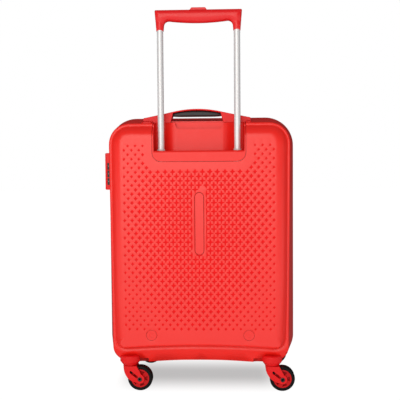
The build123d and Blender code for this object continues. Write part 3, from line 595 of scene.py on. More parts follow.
# Handle tray, middle plate and screw caps: red mouldings let into the back face with a hairline
# gap. The tray holds the two tubes and has a finger scoop at the top. They are snapped in from
# inside, and the caps cover the screws of the tube feet.
trim_red = red_plastic("trim_red_satin", (0.76, 0.008, 0.009), (0.70, 0.006, 0.007), 0.42, 1100.0, gloss=0.3)
tray_red = red_plastic("tray_red_satin", (0.82, 0.015, 0.009), (0.78, 0.012, 0.008), 0.36, 1100.0, gloss=0.42)
sharp_angle, flat_angle = 28.0, 0.6
scoop_edge = ((-0.056, -0.0856, 0.5035), (0.056, -0.0844, 0.5290))
scoop_radius = 0.0028


def within(place, limits):
    """Whether a place lies between two corners of a box."""
    return all(low <= value <= high for value, low, high in zip(place, *limits))


def ease_edges(solid, radius, steps, limits=None):
    """Rounds the sharp edges of a piece, or only those within a box."""
    ridges = [
        line for line in solid.edges
        if line.is_manifold and line.calc_face_angle() > math.radians(sharp_angle)
        and (not limits or all(within(vertex.co, limits) for vertex in line.verts))
    ]
    bmesh.ops.bevel(
        solid, geom=ridges, offset=radius, offset_type="OFFSET", segments=steps, profile=0.5,
        affect="EDGES", clamp_overlap=True,
    )


def dressed(name, material, edge, gap=0.0, crease=32.0, scoop=None):
    """A finished copy of a rigid CAD piece: its sharp edges eased, and a gap left round it where asked."""
    solid = welded_copy(name)
    if gap > 0:
        solid.normal_update()
        moves = [
            Vector((vertex.normal.x, 0, vertex.normal.z)) * gap * vertex.calc_shell_factor()
            for vertex in solid.verts
        ]
        for vertex, move in zip(solid.verts, moves):
            vertex.co -= move
    if edge > 0:
        bmesh.ops.dissolve_limit(
            solid, angle_limit=math.radians(flat_angle), verts=solid.verts, edges=solid.edges
        )
        if scoop:
            ease_edges(solid, scoop_radius, 4, scoop)
        ease_edges(solid, edge, 2)
        wide = [face for face in solid.faces if len(face.verts) > 4]
        bmesh.ops.triangulate(solid, faces=wide, ngon_method="EAR_CLIP")
    return stand_in(name, "_finish", solid, material, crease=crease)


dressed("handle_tray", tray_red, 0.0008, gap=0.0004, scoop=scoop_edge)
dressed("centre_plate", shell_red, 0.0004, gap=0.0006)
dressed("foot_screw_caps", shell_red, 0.0004, gap=0.0002)

# Telescopic tubes: anodised aluminium in three sizes that slide in each other, with a grey
# moulded collar at the mouth of each middle tube. The anodised skin has fine lines from drawing.
drawn_metal, metal_in, metal_out = effect_group("drawn_metal", "Spread")
stretch = node(drawn_metal, "ShaderNodeMapping")
stretch.inputs["Scale"].default_value = (900.0, 900.0, 12.0)
place = node(drawn_metal, "ShaderNodeTexCoord").outputs["Object"]
drawn_metal.links.new(place, stretch.inputs["Vector"])
lines = noise(drawn_metal, stretch.outputs[0], 1.0, 3.0)
put_out(
    drawn_metal, metal_out,
    mix_color(drawn_metal, lines, metal_in["Color"], metal_in["Deep Color"]),
    varied_roughness(drawn_metal, lines, metal_in),
    lines,
)


def metal(name, color, deep, roughness, metallic=1.0):
    """A drawn or machined metal."""
    values = {"Roughness": roughness, "Spread": 0.15}
    return surface(
        name, drawn_metal, color, deep, values, bump_depth=0.00003, bump_strength=0.3, Metallic=metallic
    )


def plain_plastic(name, color, deep, roughness, gloss=0.5):
    """A moulded plastic or rubber part in one colour."""
    values = {"Roughness": roughness, "Spread": 0.15, "Grain Scale": 1600.0}
    return surface(
        name, moulded_skin, color, deep, values, bump_depth=0.00008, bump_strength=0.6,
        Specular_IOR_Level=gloss,
    )


def finish_node(name, material):
    """A CAD piece that keeps its own mesh takes a finished material."""
    cad[name].data.materials.clear()
    cad[name].data.materials.append(material)


anodised = metal("anodised_aluminium", (0.82, 0.82, 0.83), (0.75, 0.75, 0.77), 0.45, 0.4)
steel = metal("zinc_plated_steel", (0.62, 0.62, 0.62), (0.48, 0.48, 0.49), 0.36)
collar_grey = plain_plastic("collar_grey", (0.62, 0.62, 0.63), (0.52, 0.52, 0.53), 0.42)
black_plastic = plain_plastic("black_moulding", (0.022, 0.022, 0.023), (0.014, 0.014, 0.015), 0.45)
for name in ("outer_tubes", "stage_tubes", "inner_tubes"):
    dressed(name, anodised, 0.00015)
dressed("stage_collars", collar_grey, 0.0004)
finish_node("tube_plugs", black_plastic)
finish_node("tube_feet", black_plastic)
finish_node("foot_screws", steel)

# Pull grip: a bowed red bar moulded in one with the two legs that take the inner tubes. The push
# button stands out of its top and works two steel rods that run down inside the tubes.
grip_red = red_plastic("grip_red_gloss", (0.72, 0.007, 0.009), (0.66, 0.006, 0.007), 0.32, 900.0, gloss=0.45)
tube_y = -0.099
leg_low, leg_high = 0.688, 0.7065
bar_top, bar_belly_z = 0.727, 0.7175
leg_half_depth, bar_half_depth = 0.0072, 0.0108
edge_share, swell_radius = 0.33, 0.0100
belly_drop, belly_reach = 0.0034, 0.014
leg_inner, leg_outer = (0.0659, leg_low), (0.0793, leg_low)
crook_low, crook_middle, crook_high = (0.0650, 0.697), (0.0620, 0.7036), (0.0550, 0.7062)
bar_under_z = 0.7025
shoulder_low, shoulder_middle, shoulder_high = (0.0822, 0.7245), (0.0816, 0.7263), (0.0796, bar_top)
grip_rings, grip_spacing = (0.0004, 0.0012, 0.0026), 0.0020
ring_room, grid_room = 0.85, 0.5


def left_of(points):
    """The same points on the left of the case."""
    return [(-x, z) for x, z in points]


def straight(first, last, steps):
    """Evenly spaced points from first to last, without the last one."""
    shares = [step / steps for step in range(steps)]
    return [(first[0] + (last[0] - first[0]) * s, first[1] + (last[1] - first[1]) * s) for s in shares]


def arc_through(first, middle, last, steps):
    """Points on the arc from first to last by way of middle, without the last one."""
    (ax, az), (bx, bz), (cx, cz) = first, middle, last
    turn = 2 * (ax * (bz - cz) + bx * (cz - az) + cx * (az - bz))
    a, b, c = ax * ax + az * az, bx * bx + bz * bz, cx * cx + cz * cz
    x = (a * (bz - cz) + b * (cz - az) + c * (az - bz)) / turn
    z = (a * (cx - bx) + b * (ax - cx) + c * (bx - ax)) / turn
    start, finish = math.atan2(az - z, ax - x), math.atan2(cz - z, cx - x)
    sweep = (finish - start) % (2 * math.pi)
    if sweep > math.pi:
        sweep -= 2 * math.pi
    radius = math.hypot(ax - x, az - z)
    turns = [start + sweep * step / steps for step in range(steps)]
    return [(x + radius * math.cos(t), z + radius * math.sin(t)) for t in turns]


def edge_distance(point, edges):
    """Distance from a point to the nearest of some edges."""
    nearest = 1.0
    for a, b in edges:
        run = Vector(b) - Vector(a)
        start = Vector(point) - Vector(a)
        along = min(max(start.dot(run) / run.length_squared, 0.0), 1.0)
        nearest = min(nearest, (start - run * along).length)
    return nearest


def pillow(outline, open_edges, middle_y, depth, rings, spacing):
    """A closed body that swells to both sides of an upright outline, as deep as asked at each place."""
    if signed_area(outline) < 0:
        outline = outline[::-1]
    following = outline[1:] + outline[:1]
    edges = [
        (a, b) for a, b in zip(outline, following)
        if (a, b) not in open_edges and (b, a) not in open_edges
    ]
    points = []
    for inset in rings:
        for before, here, after in zip(outline[-1:] + outline[:-1], outline, following):
            run = (Vector(after) - Vector(before)).normalized()
            for side in (-1, 1):
                spot = (here[0] - side * run.y * inset, here[1] + side * run.x * inset)
                if inside(spot, outline) and edge_distance(spot, edges) > ring_room * inset:
                    points.append(spot)
    low_x, high_x = min(x for x, z in outline), max(x for x, z in outline)
    low_z, high_z = min(z for x, z in outline), max(z for x, z in outline)
    for i in range(1, int((high_x - low_x) / spacing)):
        for k in range(1, int((high_z - low_z) / spacing)):
            spot = (low_x + i * spacing, low_z + k * spacing)
            if inside(spot, outline) and edge_distance(spot, edges) > rings[-1] + grid_room * spacing:
                points.append(spot)
    flat, triangles, (loop,) = filled([outline], points)
    solid = bmesh.new()
    depths = [depth(spot.x, spot.y, edge_distance(spot, edges)) for spot in flat]
    near = [solid.verts.new((spot.x, middle_y - d, spot.y)) for spot, d in zip(flat, depths)]
    far = [solid.verts.new((spot.x, middle_y + d, spot.y)) for spot, d in zip(flat, depths)]
    for triangle in triangles:
        solid.faces.new([near[i] for i in triangle])
        solid.faces.new([far[i] for i in triangle[::-1]])
    for a, b in zip(loop, loop[1:] + loop[:1]):
        solid.faces.new((near[a], far[a], far[b], near[b]))
    bmesh.ops.recalc_face_normals(solid, faces=solid.faces)
    return solid


def grip_depth(x, z, distance):
    """Half the depth of the grip: slim at the legs' ends, full in the bar, with rounded edges."""
    full = leg_half_depth + (bar_half_depth - leg_half_depth) * smooth_share(z, leg_low, leg_high)
    bulge = math.sqrt(1 - (1 - min(distance / swell_radius, 1.0)) ** 2)
    below = share_between(z, bar_belly_z, bar_belly_z - belly_reach) * share_between(z, leg_low, leg_high)
    return full * (edge_share + (1 - edge_share) * bulge) - belly_drop * below * below


outer_side = straight(leg_outer, shoulder_low, 18)
outer_side += arc_through(shoulder_low, shoulder_middle, shoulder_high, 5)
inner_side = straight(leg_inner, crook_low, 6) + arc_through(crook_low, crook_middle, crook_high, 9)
left_shoulder, left_crook = left_of([shoulder_high, crook_high])
grip_outline = left_of([leg_inner] + outer_side)
grip_outline += straight(left_shoulder, shoulder_high, 60) + [shoulder_high] + outer_side[::-1]
grip_outline += inner_side + arc_through(crook_high, (0.0, bar_under_z), left_crook, 48)
grip_outline += left_of([crook_high] + inner_side[:0:-1])
leg_ends = [(grip_outline[0], grip_outline[1]), (outer_side[0], inner_side[0])]
grip_solid = pillow(grip_outline, leg_ends, tube_y, grip_depth, grip_rings, grip_spacing)
stand_in("pull_grip", "_skin", grip_solid, grip_red)
dressed("release_button", grip_red, 0.0004)
finish_node("push_rods", steel)

# Carry handle: a moulded red strap on two pads, screwed through the top wall to a plate inside,
# with a soft dark grip under its crown where the hand holds it.
soft_black = plain_plastic("soft_grip_rubber", (0.032, 0.032, 0.034), (0.022, 0.022, 0.024), 0.55)
grip_x, grip_y = -0.005, -0.065
grip_half_length, grip_half_width = 0.0490, 0.0143
grip_end_low, grip_end_high = 0.5292, 0.5350
grip_low_rise, grip_high_rise = 0.0002, 0.0050
grip_end_share, grip_end_curve = 0.3, 6
rib_depth, rib_count, rib_fade = 0.035, 15, 4
grip_squareness = 0.55
grip_steps, grip_round_steps = 60, 28


def loft(solid, rings):
    """Skins a row of rings and closes it at both ends."""
    for one, two in zip(rings, rings[1:]):
        for k in range(len(one)):
            ahead = (k + 1) % len(one)
            solid.faces.new((one[k], one[ahead], two[ahead], two[k]))
    solid.faces.new(rings[0])
    solid.faces.new(rings[-1])


def squared(value):
    """A sine or cosine drawn out towards the corners of a rounded box."""
    return math.copysign(abs(value) ** grip_squareness, value)


dressed("carry_handle", trim_red, 0.0, crease=12.0)
finish_node("carry_backing", black_plastic)
grip_solid = bmesh.new()
rings = []
for step in range(grip_steps + 1):
    along = -math.cos(math.pi * step / grip_steps)
    bow = 1 - along * along
    low = grip_end_low + grip_low_rise * bow
    high = grip_end_high + grip_high_rise * bow
    swell = grip_end_share + (1 - grip_end_share) * (1 - abs(along) ** grip_end_curve) ** 0.5
    rib_wave = 0.5 + 0.5 * math.cos(along * rib_count * math.pi)
    rib = 1 - rib_depth * rib_wave * (1 - along ** rib_fade)
    ring = []
    for turn in range(grip_round_steps):
        angle = 2 * math.pi * turn / grip_round_steps
        across = squared(math.cos(angle)) * grip_half_width * swell * rib
        up = squared(math.sin(angle)) * (high - low) / 2 * swell
        spot = (grip_x + along * grip_half_length, grip_y + across, (low + high) / 2 + up)
        ring.append(grip_solid.verts.new(spot))
    rings.append(ring)
loft(grip_solid, rings)
bmesh.ops.recalc_face_normals(grip_solid, faces=grip_solid.faces)
soft_grip = piece("carry_soft_grip", grip_solid, "back_half", "soft_grip", soft_black)
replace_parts(soft_grip, "carry_grip")

# Combination lock: a red housing on the left wall with three black number dials, a steel axle
# through them and a round release button. The dials show their numbers in white.
dial_white = plain_plastic("dial_number_white", (0.75, 0.75, 0.74), (0.66, 0.66, 0.65), 0.5)
dial_x, dial_y = -0.1835, -0.0295
dial_radius, first_number_turn, number_turn = 0.0087, 9.0, 36.0
dial_flat = dial_radius * math.cos(math.radians(first_number_turn))
number_size, number_thickness, number_lift = 0.0034, 0.00006, 0.00002
dressed("lock_housing", trim_red, 0.0005)
dressed("lock_button", trim_red, 0.0003)
finish_node("dial_axle", steel)
for dial in (1, 2, 3):
    name = f"lock_dial_{dial}"
    dressed(name, black_plastic, 0.0003)
    low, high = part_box(name)
    numbers = bmesh.new()
    for value in range(10):
        words = bpy.data.curves.new("dial_number", "FONT")
        words.body = str(value)
        words.size = number_size
        words.align_x = "CENTER"
        words.align_y = "CENTER"
        words.extrude = number_thickness
        words.resolution_u = 2
        holder = bpy.data.objects.new("dial_number", words)
        outline = bpy.data.meshes.new_from_object(holder)
        turn = math.radians(number_turn * value + first_number_turn)
        out = Vector((math.cos(turn), math.sin(turn), 0))
        stand = Matrix.Rotation(turn + math.pi / 2, 4, "Z") @ Matrix.Rotation(math.pi / 2, 4, "X")
        spot = Vector((dial_x, dial_y, (low.z + high.z) / 2)) + out * (dial_flat + number_lift)
        outline.transform(Matrix.Translation(spot) @ stand)
        numbers.from_mesh(outline)
        bpy.data.objects.remove(holder)
        bpy.data.curves.remove(words)
        bpy.data.meshes.remove(outline)
    piece(f"dial_numbers_{dial}", numbers, name, "black_plastic", dial_white)

# Zip: woven red tape sewn inside both rims with a spiral of moulded teeth along its edge, two
# steel sliders docked at the lock, and a wide woven strip on the right that works as the hinge.
weave, weave_in, weave_out = effect_group("weave", "Threads")
place = node(weave, "ShaderNodeTexCoord").outputs["Object"]
parts = node(weave, "ShaderNodeSeparateXYZ")
weave.links.new(place, parts.inputs[0])
flat_run = math_node(weave, "ADD", parts.outputs["X"], parts.outputs["Y"])
warp = math_node(weave, "SINE", math_node(weave, "MULTIPLY", flat_run, weave_in["Threads"]))
weft = math_node(weave, "SINE", math_node(weave, "MULTIPLY", parts.outputs["Z"], weave_in["Threads"]))
half_cross = math_node(weave, "MULTIPLY", math_node(weave, "MULTIPLY", warp, weft), 0.5)
cross = math_node(weave, "ADD", half_cross, 0.5)
fuzz = math_node(weave, "MULTIPLY", noise(weave, place, 300.0, 3.0), 0.15)
put_out(
    weave, weave_out,
    mix_color(weave, cross, weave_in["Deep Color"], weave_in["Color"]),
    math_node(weave, "ADD", weave_in["Roughness"], fuzz),
    cross,
)


def cloth(name, color, deep, threads):
    """A woven material with a soft sheen."""
    values = {"Roughness": 0.72, "Threads": threads}
    return surface(
        name, weave, color, deep, values, bump_depth=0.00025, bump_strength=0.8, Sheen_Weight=0.25
    )


tape_red = cloth("zip_tape_weave", (0.50, 0.012, 0.014), (0.26, 0.006, 0.008), 4200.0)
coil_red = plain_plastic("zip_coil", (0.45, 0.010, 0.012), (0.34, 0.008, 0.010), 0.4)
rim_side, rim_top, rim_bottom = 0.1855, 0.5302, 0.0440
rim_top_radius, rim_bottom_radius = 0.056, 0.052
rim_size = (rim_side, rim_top, rim_bottom, rim_top_radius, rim_bottom_radius)
tape_inset, tape_depths, tape_spacing = (0.00258, 0.00364), (0.0005, 0.0152), 0.006
tooth_pitch, tooth_half_length = 0.0023, 0.00052
tooth_profile = (
    (0.0014, -0.0006), (0.0011, 0.0002), (0.0014, 0.0016),
    (0.0022, 0.0026), (0.0034, 0.0026), (0.0034, -0.0006),
)
hinge_low, hinge_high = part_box("hinge_tape")
hinge_room, hinge_joint = 0.002, 0.0003
hinge_across, hinge_up = 48, 90


def beside_hinge(spot):
    """Whether a place on the rim lies where the hinge strip takes the zip's place."""
    return spot.x > 0 and hinge_low.z - hinge_room < spot.y < hinge_high.z + hinge_room


def zip_places():
    """The run of the tape from the top end of the hinge strip round the rim to its low end."""
    path = case_path(*rim_size, tape_spacing)
    first = next(i for i, (spot, out) in enumerate(path) if beside_hinge(spot))
    last = first
    while beside_hinge(path[(first - 1) % len(path)][0]):
        first -= 1
    while beside_hinge(path[last % len(path)][0]):
        last += 1
    places = [path[step % len(path)] for step in range(last, first + len(path))]
    outward = Vector((1, 0))
    top_end = Vector((rim_side, hinge_high.z + hinge_joint))
    low_end = Vector((rim_side, hinge_low.z - hinge_joint))
    return [(top_end, outward), *places, (low_end, outward)]


def zip_half(half, side, phase):
    """One half of the zip: the sewn tape and the row of teeth along its edge."""
    tape = bmesh.new()
    rings = []
    for spot, out in zip_places():
        ring = []
        for inset, depth in ((0, 0), (0, 1), (1, 1), (1, 0)):
            flat = spot - out * tape_inset[inset]
            ring.append(tape.verts.new((flat.x, side * tape_depths[depth], flat.y)))
        rings.append(ring)
    loft(tape, rings)
    bmesh.ops.recalc_face_normals(tape, faces=tape.faces)
    teeth = bmesh.new()
    for index, (spot, out) in enumerate(case_path(*rim_size, tooth_pitch / 2)):
        if index % 2 != phase or beside_hinge(spot):
            continue
        along = Vector((-out.y, out.x)) * tooth_half_length
        ends = []
        for end in (-1, 1):
            spots = [(spot - out * inset + along * end, depth) for inset, depth in tooth_profile]
            ends.append([teeth.verts.new((flat.x, side * depth, flat.y)) for flat, depth in spots])
        loft(teeth, ends)
    bmesh.ops.recalc_face_normals(teeth, faces=teeth.faces)
    name = half.replace("_half", "")
    band = piece(f"{name}_zip_band", tape, half, "zip_tape", tape_red)
    row = piece(f"{name}_zip_teeth", teeth, half, "zip_tape", coil_red)
    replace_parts(band, f"{name}_zip_tape")


def slab(solid, first, second):
    """Closes two equal grids of points into a thin slab."""
    columns, rows = range(len(first) - 1), range(len(first[0]) - 1)
    for grid in (first, second):
        for i in columns:
            for k in rows:
                solid.faces.new((grid[i][k], grid[i + 1][k], grid[i + 1][k + 1], grid[i][k + 1]))
    for k in (0, -1):
        for i in columns:
            solid.faces.new((first[i][k], first[i + 1][k], second[i + 1][k], second[i][k]))
    for i in (0, -1):
        for k in rows:
            solid.faces.new((first[i][k], first[i][k + 1], second[i][k + 1], second[i][k]))
    bmesh.ops.recalc_face_normals(solid, faces=solid.faces)


zip_half("back_half", side=-1, phase=0)
zip_half("front_half", side=1, phase=1)
dressed("zip_sliders", steel, 0.0003)
dressed("zip_pull_lower", trim_red, 0.0003)
dressed("zip_pull_upper", trim_red, 0.0003)
strip = bmesh.new()
strip_width, strip_height = hinge_high.y - hinge_low.y, hinge_high.z - hinge_low.z
strip_faces = []
for x in (hinge_low.x, hinge_high.x):
    grid = []
    for i in range(hinge_across + 1):
        y = hinge_low.y + strip_width * i / hinge_across
        heights = [hinge_low.z + strip_height * k / hinge_up for k in range(hinge_up + 1)]
        grid.append([strip.verts.new((x, y, z)) for z in heights])
    strip_faces.append(grid)
slab(strip, *strip_faces)
hinge_strip = shown("hinge_strip", strip, "zip_tape", tape_red)
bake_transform(hinge_strip)
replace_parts(hinge_strip, "hinge_tape")

# Casters: red flared bosses under the wheel wells, steel swivel pins, red forks with a slot in
# each arm, and wheels of a red hub with five pockets in a black polyurethane tyre, riveted.
caster_red = red_plastic("caster_red", (0.74, 0.006, 0.008), (0.66, 0.005, 0.006), 0.40, 1000.0, gloss=0.25)
# The hubs take a deeper red than the forks, partly as painted shade from the fork over the wheel.
hub_red_painted_shade = red_plastic("hub_red_painted_shade", (0.55, 0.004, 0.006), (0.46, 0.003, 0.005), 0.42, 1000.0, gloss=0.2)
tyre_black = plain_plastic(
    "tyre_polyurethane", (0.010, 0.010, 0.0105), (0.006, 0.006, 0.0065), 0.5, gloss=0.15
)
rivet_steel = metal("rivet_steel", (0.17, 0.17, 0.17), (0.11, 0.11, 0.11), 0.34)
# Near-black for the inside of the rivet's bore: painted shade of the deep hole, not the steel's colour.
bore_painted_shade = plain_plastic("rivet_bore_painted_shade", (0.004, 0.004, 0.004), (0.003, 0.003, 0.003), 0.7)
bore_radius = 0.0017
slot_near, slot_far = (-0.0060, 0.0044), (-0.0168, 0.0128)
slot_radius, slot_half_depth, slot_steps = 0.0024, 0.03, 12


def cut_slot(fork, middle):
    """Cuts the long slot through both arms of a fork, from beside the rivet up the slant."""
    ends = [Vector((middle.x + x, middle.z + z)) for x, z in (slot_near, slot_far)]
    run = (ends[1] - ends[0]).normalized()
    start = math.atan2(run.y, run.x)
    outline = []
    for end, turn in ((ends[1], start - math.pi / 2), (ends[0], start + math.pi / 2)):
        for step in range(slot_steps + 1):
            angle = turn + math.pi * step / slot_steps
            outline.append(end + Vector((math.cos(angle), math.sin(angle))) * slot_radius)
    slot = bmesh.new()
    loft(slot, [
        [slot.verts.new((spot.x, middle.y + depth, spot.y)) for spot in outline]
        for depth in (-slot_half_depth, slot_half_depth)
    ])
    bmesh.ops.recalc_face_normals(slot, faces=slot.faces)
    cutter = bpy.data.objects.new("slot_cutter", finished_mesh("slot_cutter", slot))
    bpy.context.scene.collection.objects.link(cutter)
    cutter.parent = fork.parent
    cutting = fork.modifiers.new("slot", "BOOLEAN")
    cutting.object = cutter
    cutting.solver = "EXACT"
    bpy.context.view_layer.update()
    shaped = bpy.data.meshes.new_from_object(fork.evaluated_get(bpy.context.evaluated_depsgraph_get()))
    fork.modifiers.clear()
    fork.data = shaped
    bpy.data.objects.remove(cutter)


for half in ("back", "front"):
    dressed(f"{half}_caster_housings", caster_red, 0.0006)
    finish_node(f"{half}_swivel_pins", steel)
    for corner in (f"{half}_left", f"{half}_right"):
        low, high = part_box(f"caster_axle_{corner}")
        middle = (low + high) / 2
        cut_slot(dressed(f"caster_fork_{corner}", caster_red, 0.0005), middle)
        rivet = dressed(f"caster_axle_{corner}", rivet_steel, 0.0002)
        # Faces inside the bore take the painted shade.
        rivet.data.materials.append(bore_painted_shade)
        for face in rivet.data.polygons:
            off_axis = math.hypot(face.center.x - middle.x, face.center.z - middle.z)
            face.material_index = int(off_axis < bore_radius)
        dressed(f"wheel_hub_{corner}", hub_red_painted_shade, 0.0004)
        dressed(f"tyre_{corner}", tyre_black, 0.0008)

# Inside: a quilted grey polyester panel is sewn into each half, over thin foam. Crossed elastic
# webbing straps with a moulded buckle hold the clothes down in the back half, sewn on at their ends.
lining_grey = cloth("lining_weave", (0.17, 0.17, 0.18), (0.09, 0.09, 0.095), 3600.0)
web_black = cloth("strap_webbing", (0.040, 0.040, 0.042), (0.016, 0.016, 0.017), 3000.0)
thread_grey = plain_plastic("sewing_thread", (0.30, 0.30, 0.31), (0.22, 0.22, 0.23), 0.6)
quilt_pitch, quilt_rise = 0.052, 0.0022
panel_thickness, hem_width = 0.0010, 0.010
well_top, notch_step = 0.0672, 0.0002
panel_columns, panel_rows = 150, 130


def panel_reach(x, inset, notch):
    """The lowest and highest point of a lining panel at a place across the case."""
    along = abs(x)
    top_x, top_z = rim_side - rim_top_radius, rim_top - rim_top_radius
    low_x, reach = rim_side - rim_bottom_radius, arch_radius + rim_bottom_radius
    low_z = rim_bottom - arch_radius + math.sqrt(reach ** 2 - low_x ** 2)
    high = rim_top - inset
    if along > top_x:
        high = top_z + math.sqrt(max((rim_top_radius - inset) ** 2 - (along - top_x) ** 2, 0.0))
    if along > low_x:
        low = low_z - math.sqrt(max((rim_bottom_radius - inset) ** 2 - (along - low_x) ** 2, 0.0))
    else:
        low = rim_bottom - arch_radius + math.sqrt((arch_radius + inset) ** 2 - along ** 2)
    return (max(low, well_top) if along > notch else low), high


def quilt_height(x, z, edge):
    """How high the quilt stands: pillows between seams on a diamond grid, flat at the sewn hem."""
    seams = math.sin(math.pi * (x + z) / quilt_pitch) * math.sin(math.pi * (x - z) / quilt_pitch)
    return panel_thickness + quilt_rise * abs(seams) ** 0.5 * share_between(edge, 0.0, hem_width)


def lining_panel(name, inset, notch, depth, towards):
    """A quilted panel across one half, cut out round the wheel wells."""
    half_width = rim_side - inset
    turns = [math.pi / 2 * (-1 + 2 * i / panel_columns) for i in range(panel_columns + 1)]
    columns = [half_width * math.sin(turn) for turn in turns]
    columns += [side * notch + step for side in (-1, 1) for step in (-notch_step, notch_step)]
    columns.sort()
    reaches = [panel_reach(x, inset, notch) for x in columns]
    panel = bmesh.new()
    layers = ([], [])
    for x, (low, high) in zip(columns, reaches):
        heights = [low + (high - low) * k / panel_rows for k in range(panel_rows + 1)]
        layers[0].append([panel.verts.new((x, depth, z)) for z in heights])
        edges = [min(half_width - abs(x), z - low, high - z) for z in heights]
        rises = [towards * quilt_height(x, z, edge) for z, edge in zip(heights, edges)]
        layers[1].append([panel.verts.new((x, depth + rise, z)) for z, rise in zip(heights, rises)])
    slab(panel, *layers)
    made = stand_in(name, "_quilt", panel, lining_grey)
    low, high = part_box(name)


lining_panel("back_lining", inset=0.0144, notch=0.1033, depth=-0.0733, towards=1)
lining_panel("front_lining", inset=0.0172, notch=0.0985, depth=0.0873, towards=-1)

strap_half_width, strap_thickness = 0.0125, 0.0011
strap_edge_share, strap_crown_share = 0.25, 0.5
strap_start, strap_end, strap_stations = 0.017, 0.187, 44
strap_rest, strap_lift, strap_sewn_lift = -0.0720, 0.0026, 0.0013
strap_sewn, strap_slope = 0.016, 0.022
strap_profile = (-1.0, -0.96, -0.5, 0.0, 0.5, 0.96, 1.0)
strap_reach_x, strap_reach_z = 0.140, 0.125
seam_middle, stitch_pitch = 0.010, 0.0030
seam_rows = ((0.0075, 0, 7), (-0.0075, 0, 7), (0, 0.0100, 5), (0, -0.0100, 5))
stitch_size = Matrix.Diagonal((0.0022, 0.0005, 0.0005, 1))
buckle_low, buckle_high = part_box("strap_buckle")
buckle_middle = Vector((0, 0, (buckle_low.z + buckle_high.z) / 2))
towards_front = Vector((0, 1, 0))
straps = bmesh.new()
stitches = bmesh.new()
for sign_x, sign_z in ((1, 1), (-1, 1), (-1, -1), (1, -1)):
    along = Vector((sign_x * strap_reach_x, 0, sign_z * strap_reach_z)).normalized()
    side = Vector((-along.z, 0, along.x))
    rings = []
    for step in range(strap_stations + 1):
        run = strap_start + (strap_end - strap_start) * step / strap_stations
        sewn_at = strap_end - strap_sewn
        lift = strap_lift * smooth_share(run, sewn_at, sewn_at - strap_slope) + strap_sewn_lift
        ring = []
        for face, order in ((-1, 1), (1, -1)):
            for across in strap_profile[::order]:
                crown = strap_thickness * (strap_edge_share if abs(across) == 1.0 else strap_crown_share)
                flat = buckle_middle + along * run + side * across * strap_half_width
                ring.append(straps.verts.new((flat.x, strap_rest + lift + face * crown, flat.z)))
        rings.append(ring)
    loft(straps, rings)
    sewn = buckle_middle + along * (strap_end - seam_middle)
    for row_end, row_side, count in seam_rows:
        for k in range(count):
            place = (k - (count - 1) / 2) * stitch_pitch
            spot = sewn + along * (row_end or place) + side * (row_side or place)
            spot.y = strap_rest + strap_sewn_lift + strap_thickness / 2
            long_way = side if row_end else along
            turn = Matrix((long_way, towards_front, long_way.cross(towards_front))).transposed().to_4x4()
            stand = Matrix.Translation(spot) @ turn @ stitch_size
            bmesh.ops.create_icosphere(stitches, subdivisions=1, radius=0.5, matrix=stand)
bmesh.ops.recalc_face_normals(straps, faces=straps.faces)
strap_web = piece("packing_web", straps, "back_half", "strap_web", web_black)
strap_seams = piece("strap_seams", stitches, "back_half", "strap_web", thread_grey)
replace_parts(strap_web, "packing_straps")
dressed("strap_buckle", black_plastic, 0.0006)

# Floor, light and camera: a pale studio floor with a painted soft shadow under the case, under a white
# surround, one large softbox behind the camera to the left, and the photograph's viewing angle.
floor_size = 12.0
floor_seen, floor_lit = (0.05, 0.055, 0.055, 1), (0.80, 0.80, 0.80, 1)
bounce_level, flag_level, surround_level = 0.55, 0.025, 0.54
flag_far, flag_near = -0.50, -0.18
# Depth and soft edges of the shadow painted on the floor under the case
painted_shadow_level = 0.50
painted_shadow_fades = (("X", 0.0, 0.115, 0.185), ("Y", 0.012, 0.012, 0.136))
softbox_place, softbox_target = Vector((-0.6, -2.6, 1.15)), Vector((0, 0, 0.35))
softbox_width, softbox_height, softbox_power = 2.2, 2.0, 36.0
camera_place = (0.0500, -1.3939, 0.4288)
camera_yaw, camera_pitch, camera_roll = 2.18, 2.654, -0.428


def soft_step(tree, value, low, high, first, last):
    """A node that goes softly from the first number to the last one as a value rises."""
    made = node(tree, "ShaderNodeMapRange", interpolation_type="SMOOTHSTEP")
    labels = ("From Min", "From Max", "To Min", "To Max")
    for label, number in zip(labels, (low, high, first, last)):
        made.inputs[label].default_value = number
    tree.links.new(value, made.inputs["Value"])
    return made.outputs[0]


floor_mesh = bpy.data.meshes.new("studio_floor")
floor_corners = [(x * floor_size, y * floor_size, 0) for x, y in ((-1, -1), (1, -1), (1, 1), (-1, 1))]
floor_mesh.from_pydata(floor_corners, [], [(0, 1, 2, 3)])
floor = bpy.data.objects.new("studio_floor", floor_mesh)
bpy.context.scene.collection.objects.link(floor)
floor_white = bpy.data.materials.new("studio_floor_white")
floor_white.use_nodes = True
floor_mesh.materials.append(floor_white)
tree = floor_white.node_tree
tree.nodes.clear()
matt = node(tree, "ShaderNodeBsdfDiffuse")
glow = node(tree, "ShaderNodeEmission")
both = node(tree, "ShaderNodeAddShader")
out = node(tree, "ShaderNodeOutputMaterial")
rays = node(tree, "ShaderNodeLightPath").outputs
shade = node(tree, "ShaderNodeMix", data_type="RGBA")
shade.inputs[6].default_value = floor_lit
shade.inputs[7].default_value = floor_seen
tree.links.new(math_node(tree, "MAXIMUM", rays["Is Camera Ray"], rays["Is Glossy Ray"]), shade.inputs[0])
tree.links.new(shade.outputs[2], matt.inputs["Color"])
parts = node(tree, "ShaderNodeSeparateXYZ")
tree.links.new(node(tree, "ShaderNodeTexCoord").outputs["Object"], parts.inputs[0])
ahead = soft_step(tree, parts.outputs["Y"], flag_far, flag_near, 1.0, flag_level)
mirrored = math_node(tree, "MULTIPLY", rays["Is Glossy Ray"], ahead)
bounced = math_node(tree, "MULTIPLY", rays["Is Diffuse Ray"], bounce_level)
seen = math_node(tree, "MAXIMUM", rays["Is Camera Ray"], rays["Is Transmission Ray"])
seen = math_node(tree, "MAXIMUM", seen, math_node(tree, "MAXIMUM", mirrored, bounced))
# Painted shadow: the floor's glow is dimmed in a soft-edged patch under the case, deepest at its middle.
cover = painted_shadow_level
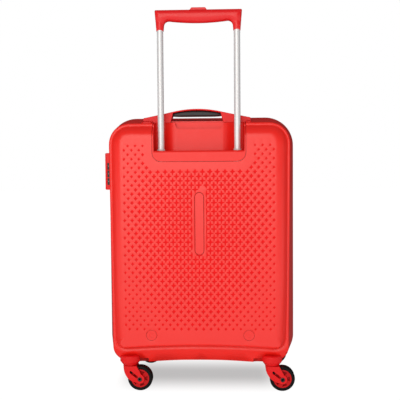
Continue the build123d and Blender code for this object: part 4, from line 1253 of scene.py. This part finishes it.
for axis, middle, near, far in painted_shadow_fades:
    away = math_node(tree, "ABSOLUTE", math_node(tree, "SUBTRACT", parts.outputs[axis], middle))
    cover = math_node(tree, "MULTIPLY", soft_step(tree, away, near, far, 1.0, 0.0), cover)
floor_outside_painted_shadow = math_node(tree, "SUBTRACT", 1.0, cover)
tree.links.new(math_node(tree, "MULTIPLY", seen, floor_outside_painted_shadow), glow.inputs["Strength"])
tree.links.new(matt.outputs[0], both.inputs[0])
tree.links.new(glow.outputs[0], both.inputs[1])
tree.links.new(both.outputs[0], out.inputs["Surface"])

world = bpy.data.worlds.new("studio_surround")
bpy.context.scene.world = world
world.use_nodes = True
tree = world.node_tree
tree.nodes.clear()
backdrop = node(tree, "ShaderNodeBackground")
backdrop.inputs["Color"].default_value = (1, 1, 1, 1)
out = node(tree, "ShaderNodeOutputWorld")
rays = node(tree, "ShaderNodeLightPath").outputs
flagged = math_node(tree, "MULTIPLY", rays["Is Glossy Ray"], surround_level - flag_level)
soft = math_node(tree, "SUBTRACT", surround_level, flagged)
seen = math_node(tree, "MAXIMUM", rays["Is Camera Ray"], rays["Is Transmission Ray"])
tree.links.new(math_node(tree, "MAXIMUM", seen, soft), backdrop.inputs["Strength"])
tree.links.new(backdrop.outputs[0], out.inputs["Surface"])

lamp = bpy.data.lights.new("front_softbox", "AREA")
lamp.shape = "RECTANGLE"
lamp.size = softbox_width
lamp.size_y = softbox_height
lamp.energy = softbox_power
lamp.color = (1.0, 0.95, 0.88)
softbox = bpy.data.objects.new("front_softbox", lamp)
softbox.location = softbox_place
softbox.rotation_euler = (softbox_target - softbox_place).to_track_quat("-Z", "Y").to_euler()
bpy.context.scene.collection.objects.link(softbox)

optics = bpy.data.cameras.new("studio_camera")
optics.sensor_width = 36.0
optics.lens = 61.2
camera = bpy.data.objects.new("studio_camera", optics)
camera.matrix_world = (
    Matrix.Translation(camera_place)
    @ Matrix.Rotation(math.radians(camera_yaw), 4, "Z")
    @ Matrix.Rotation(math.radians(90 - camera_pitch), 4, "X")
    @ Matrix.Rotation(math.radians(camera_roll), 4, "Z")
)
bpy.context.scene.collection.objects.link(camera)
bpy.context.scene.camera = camera
bpy.context.scene.view_settings.view_transform = "Standard"
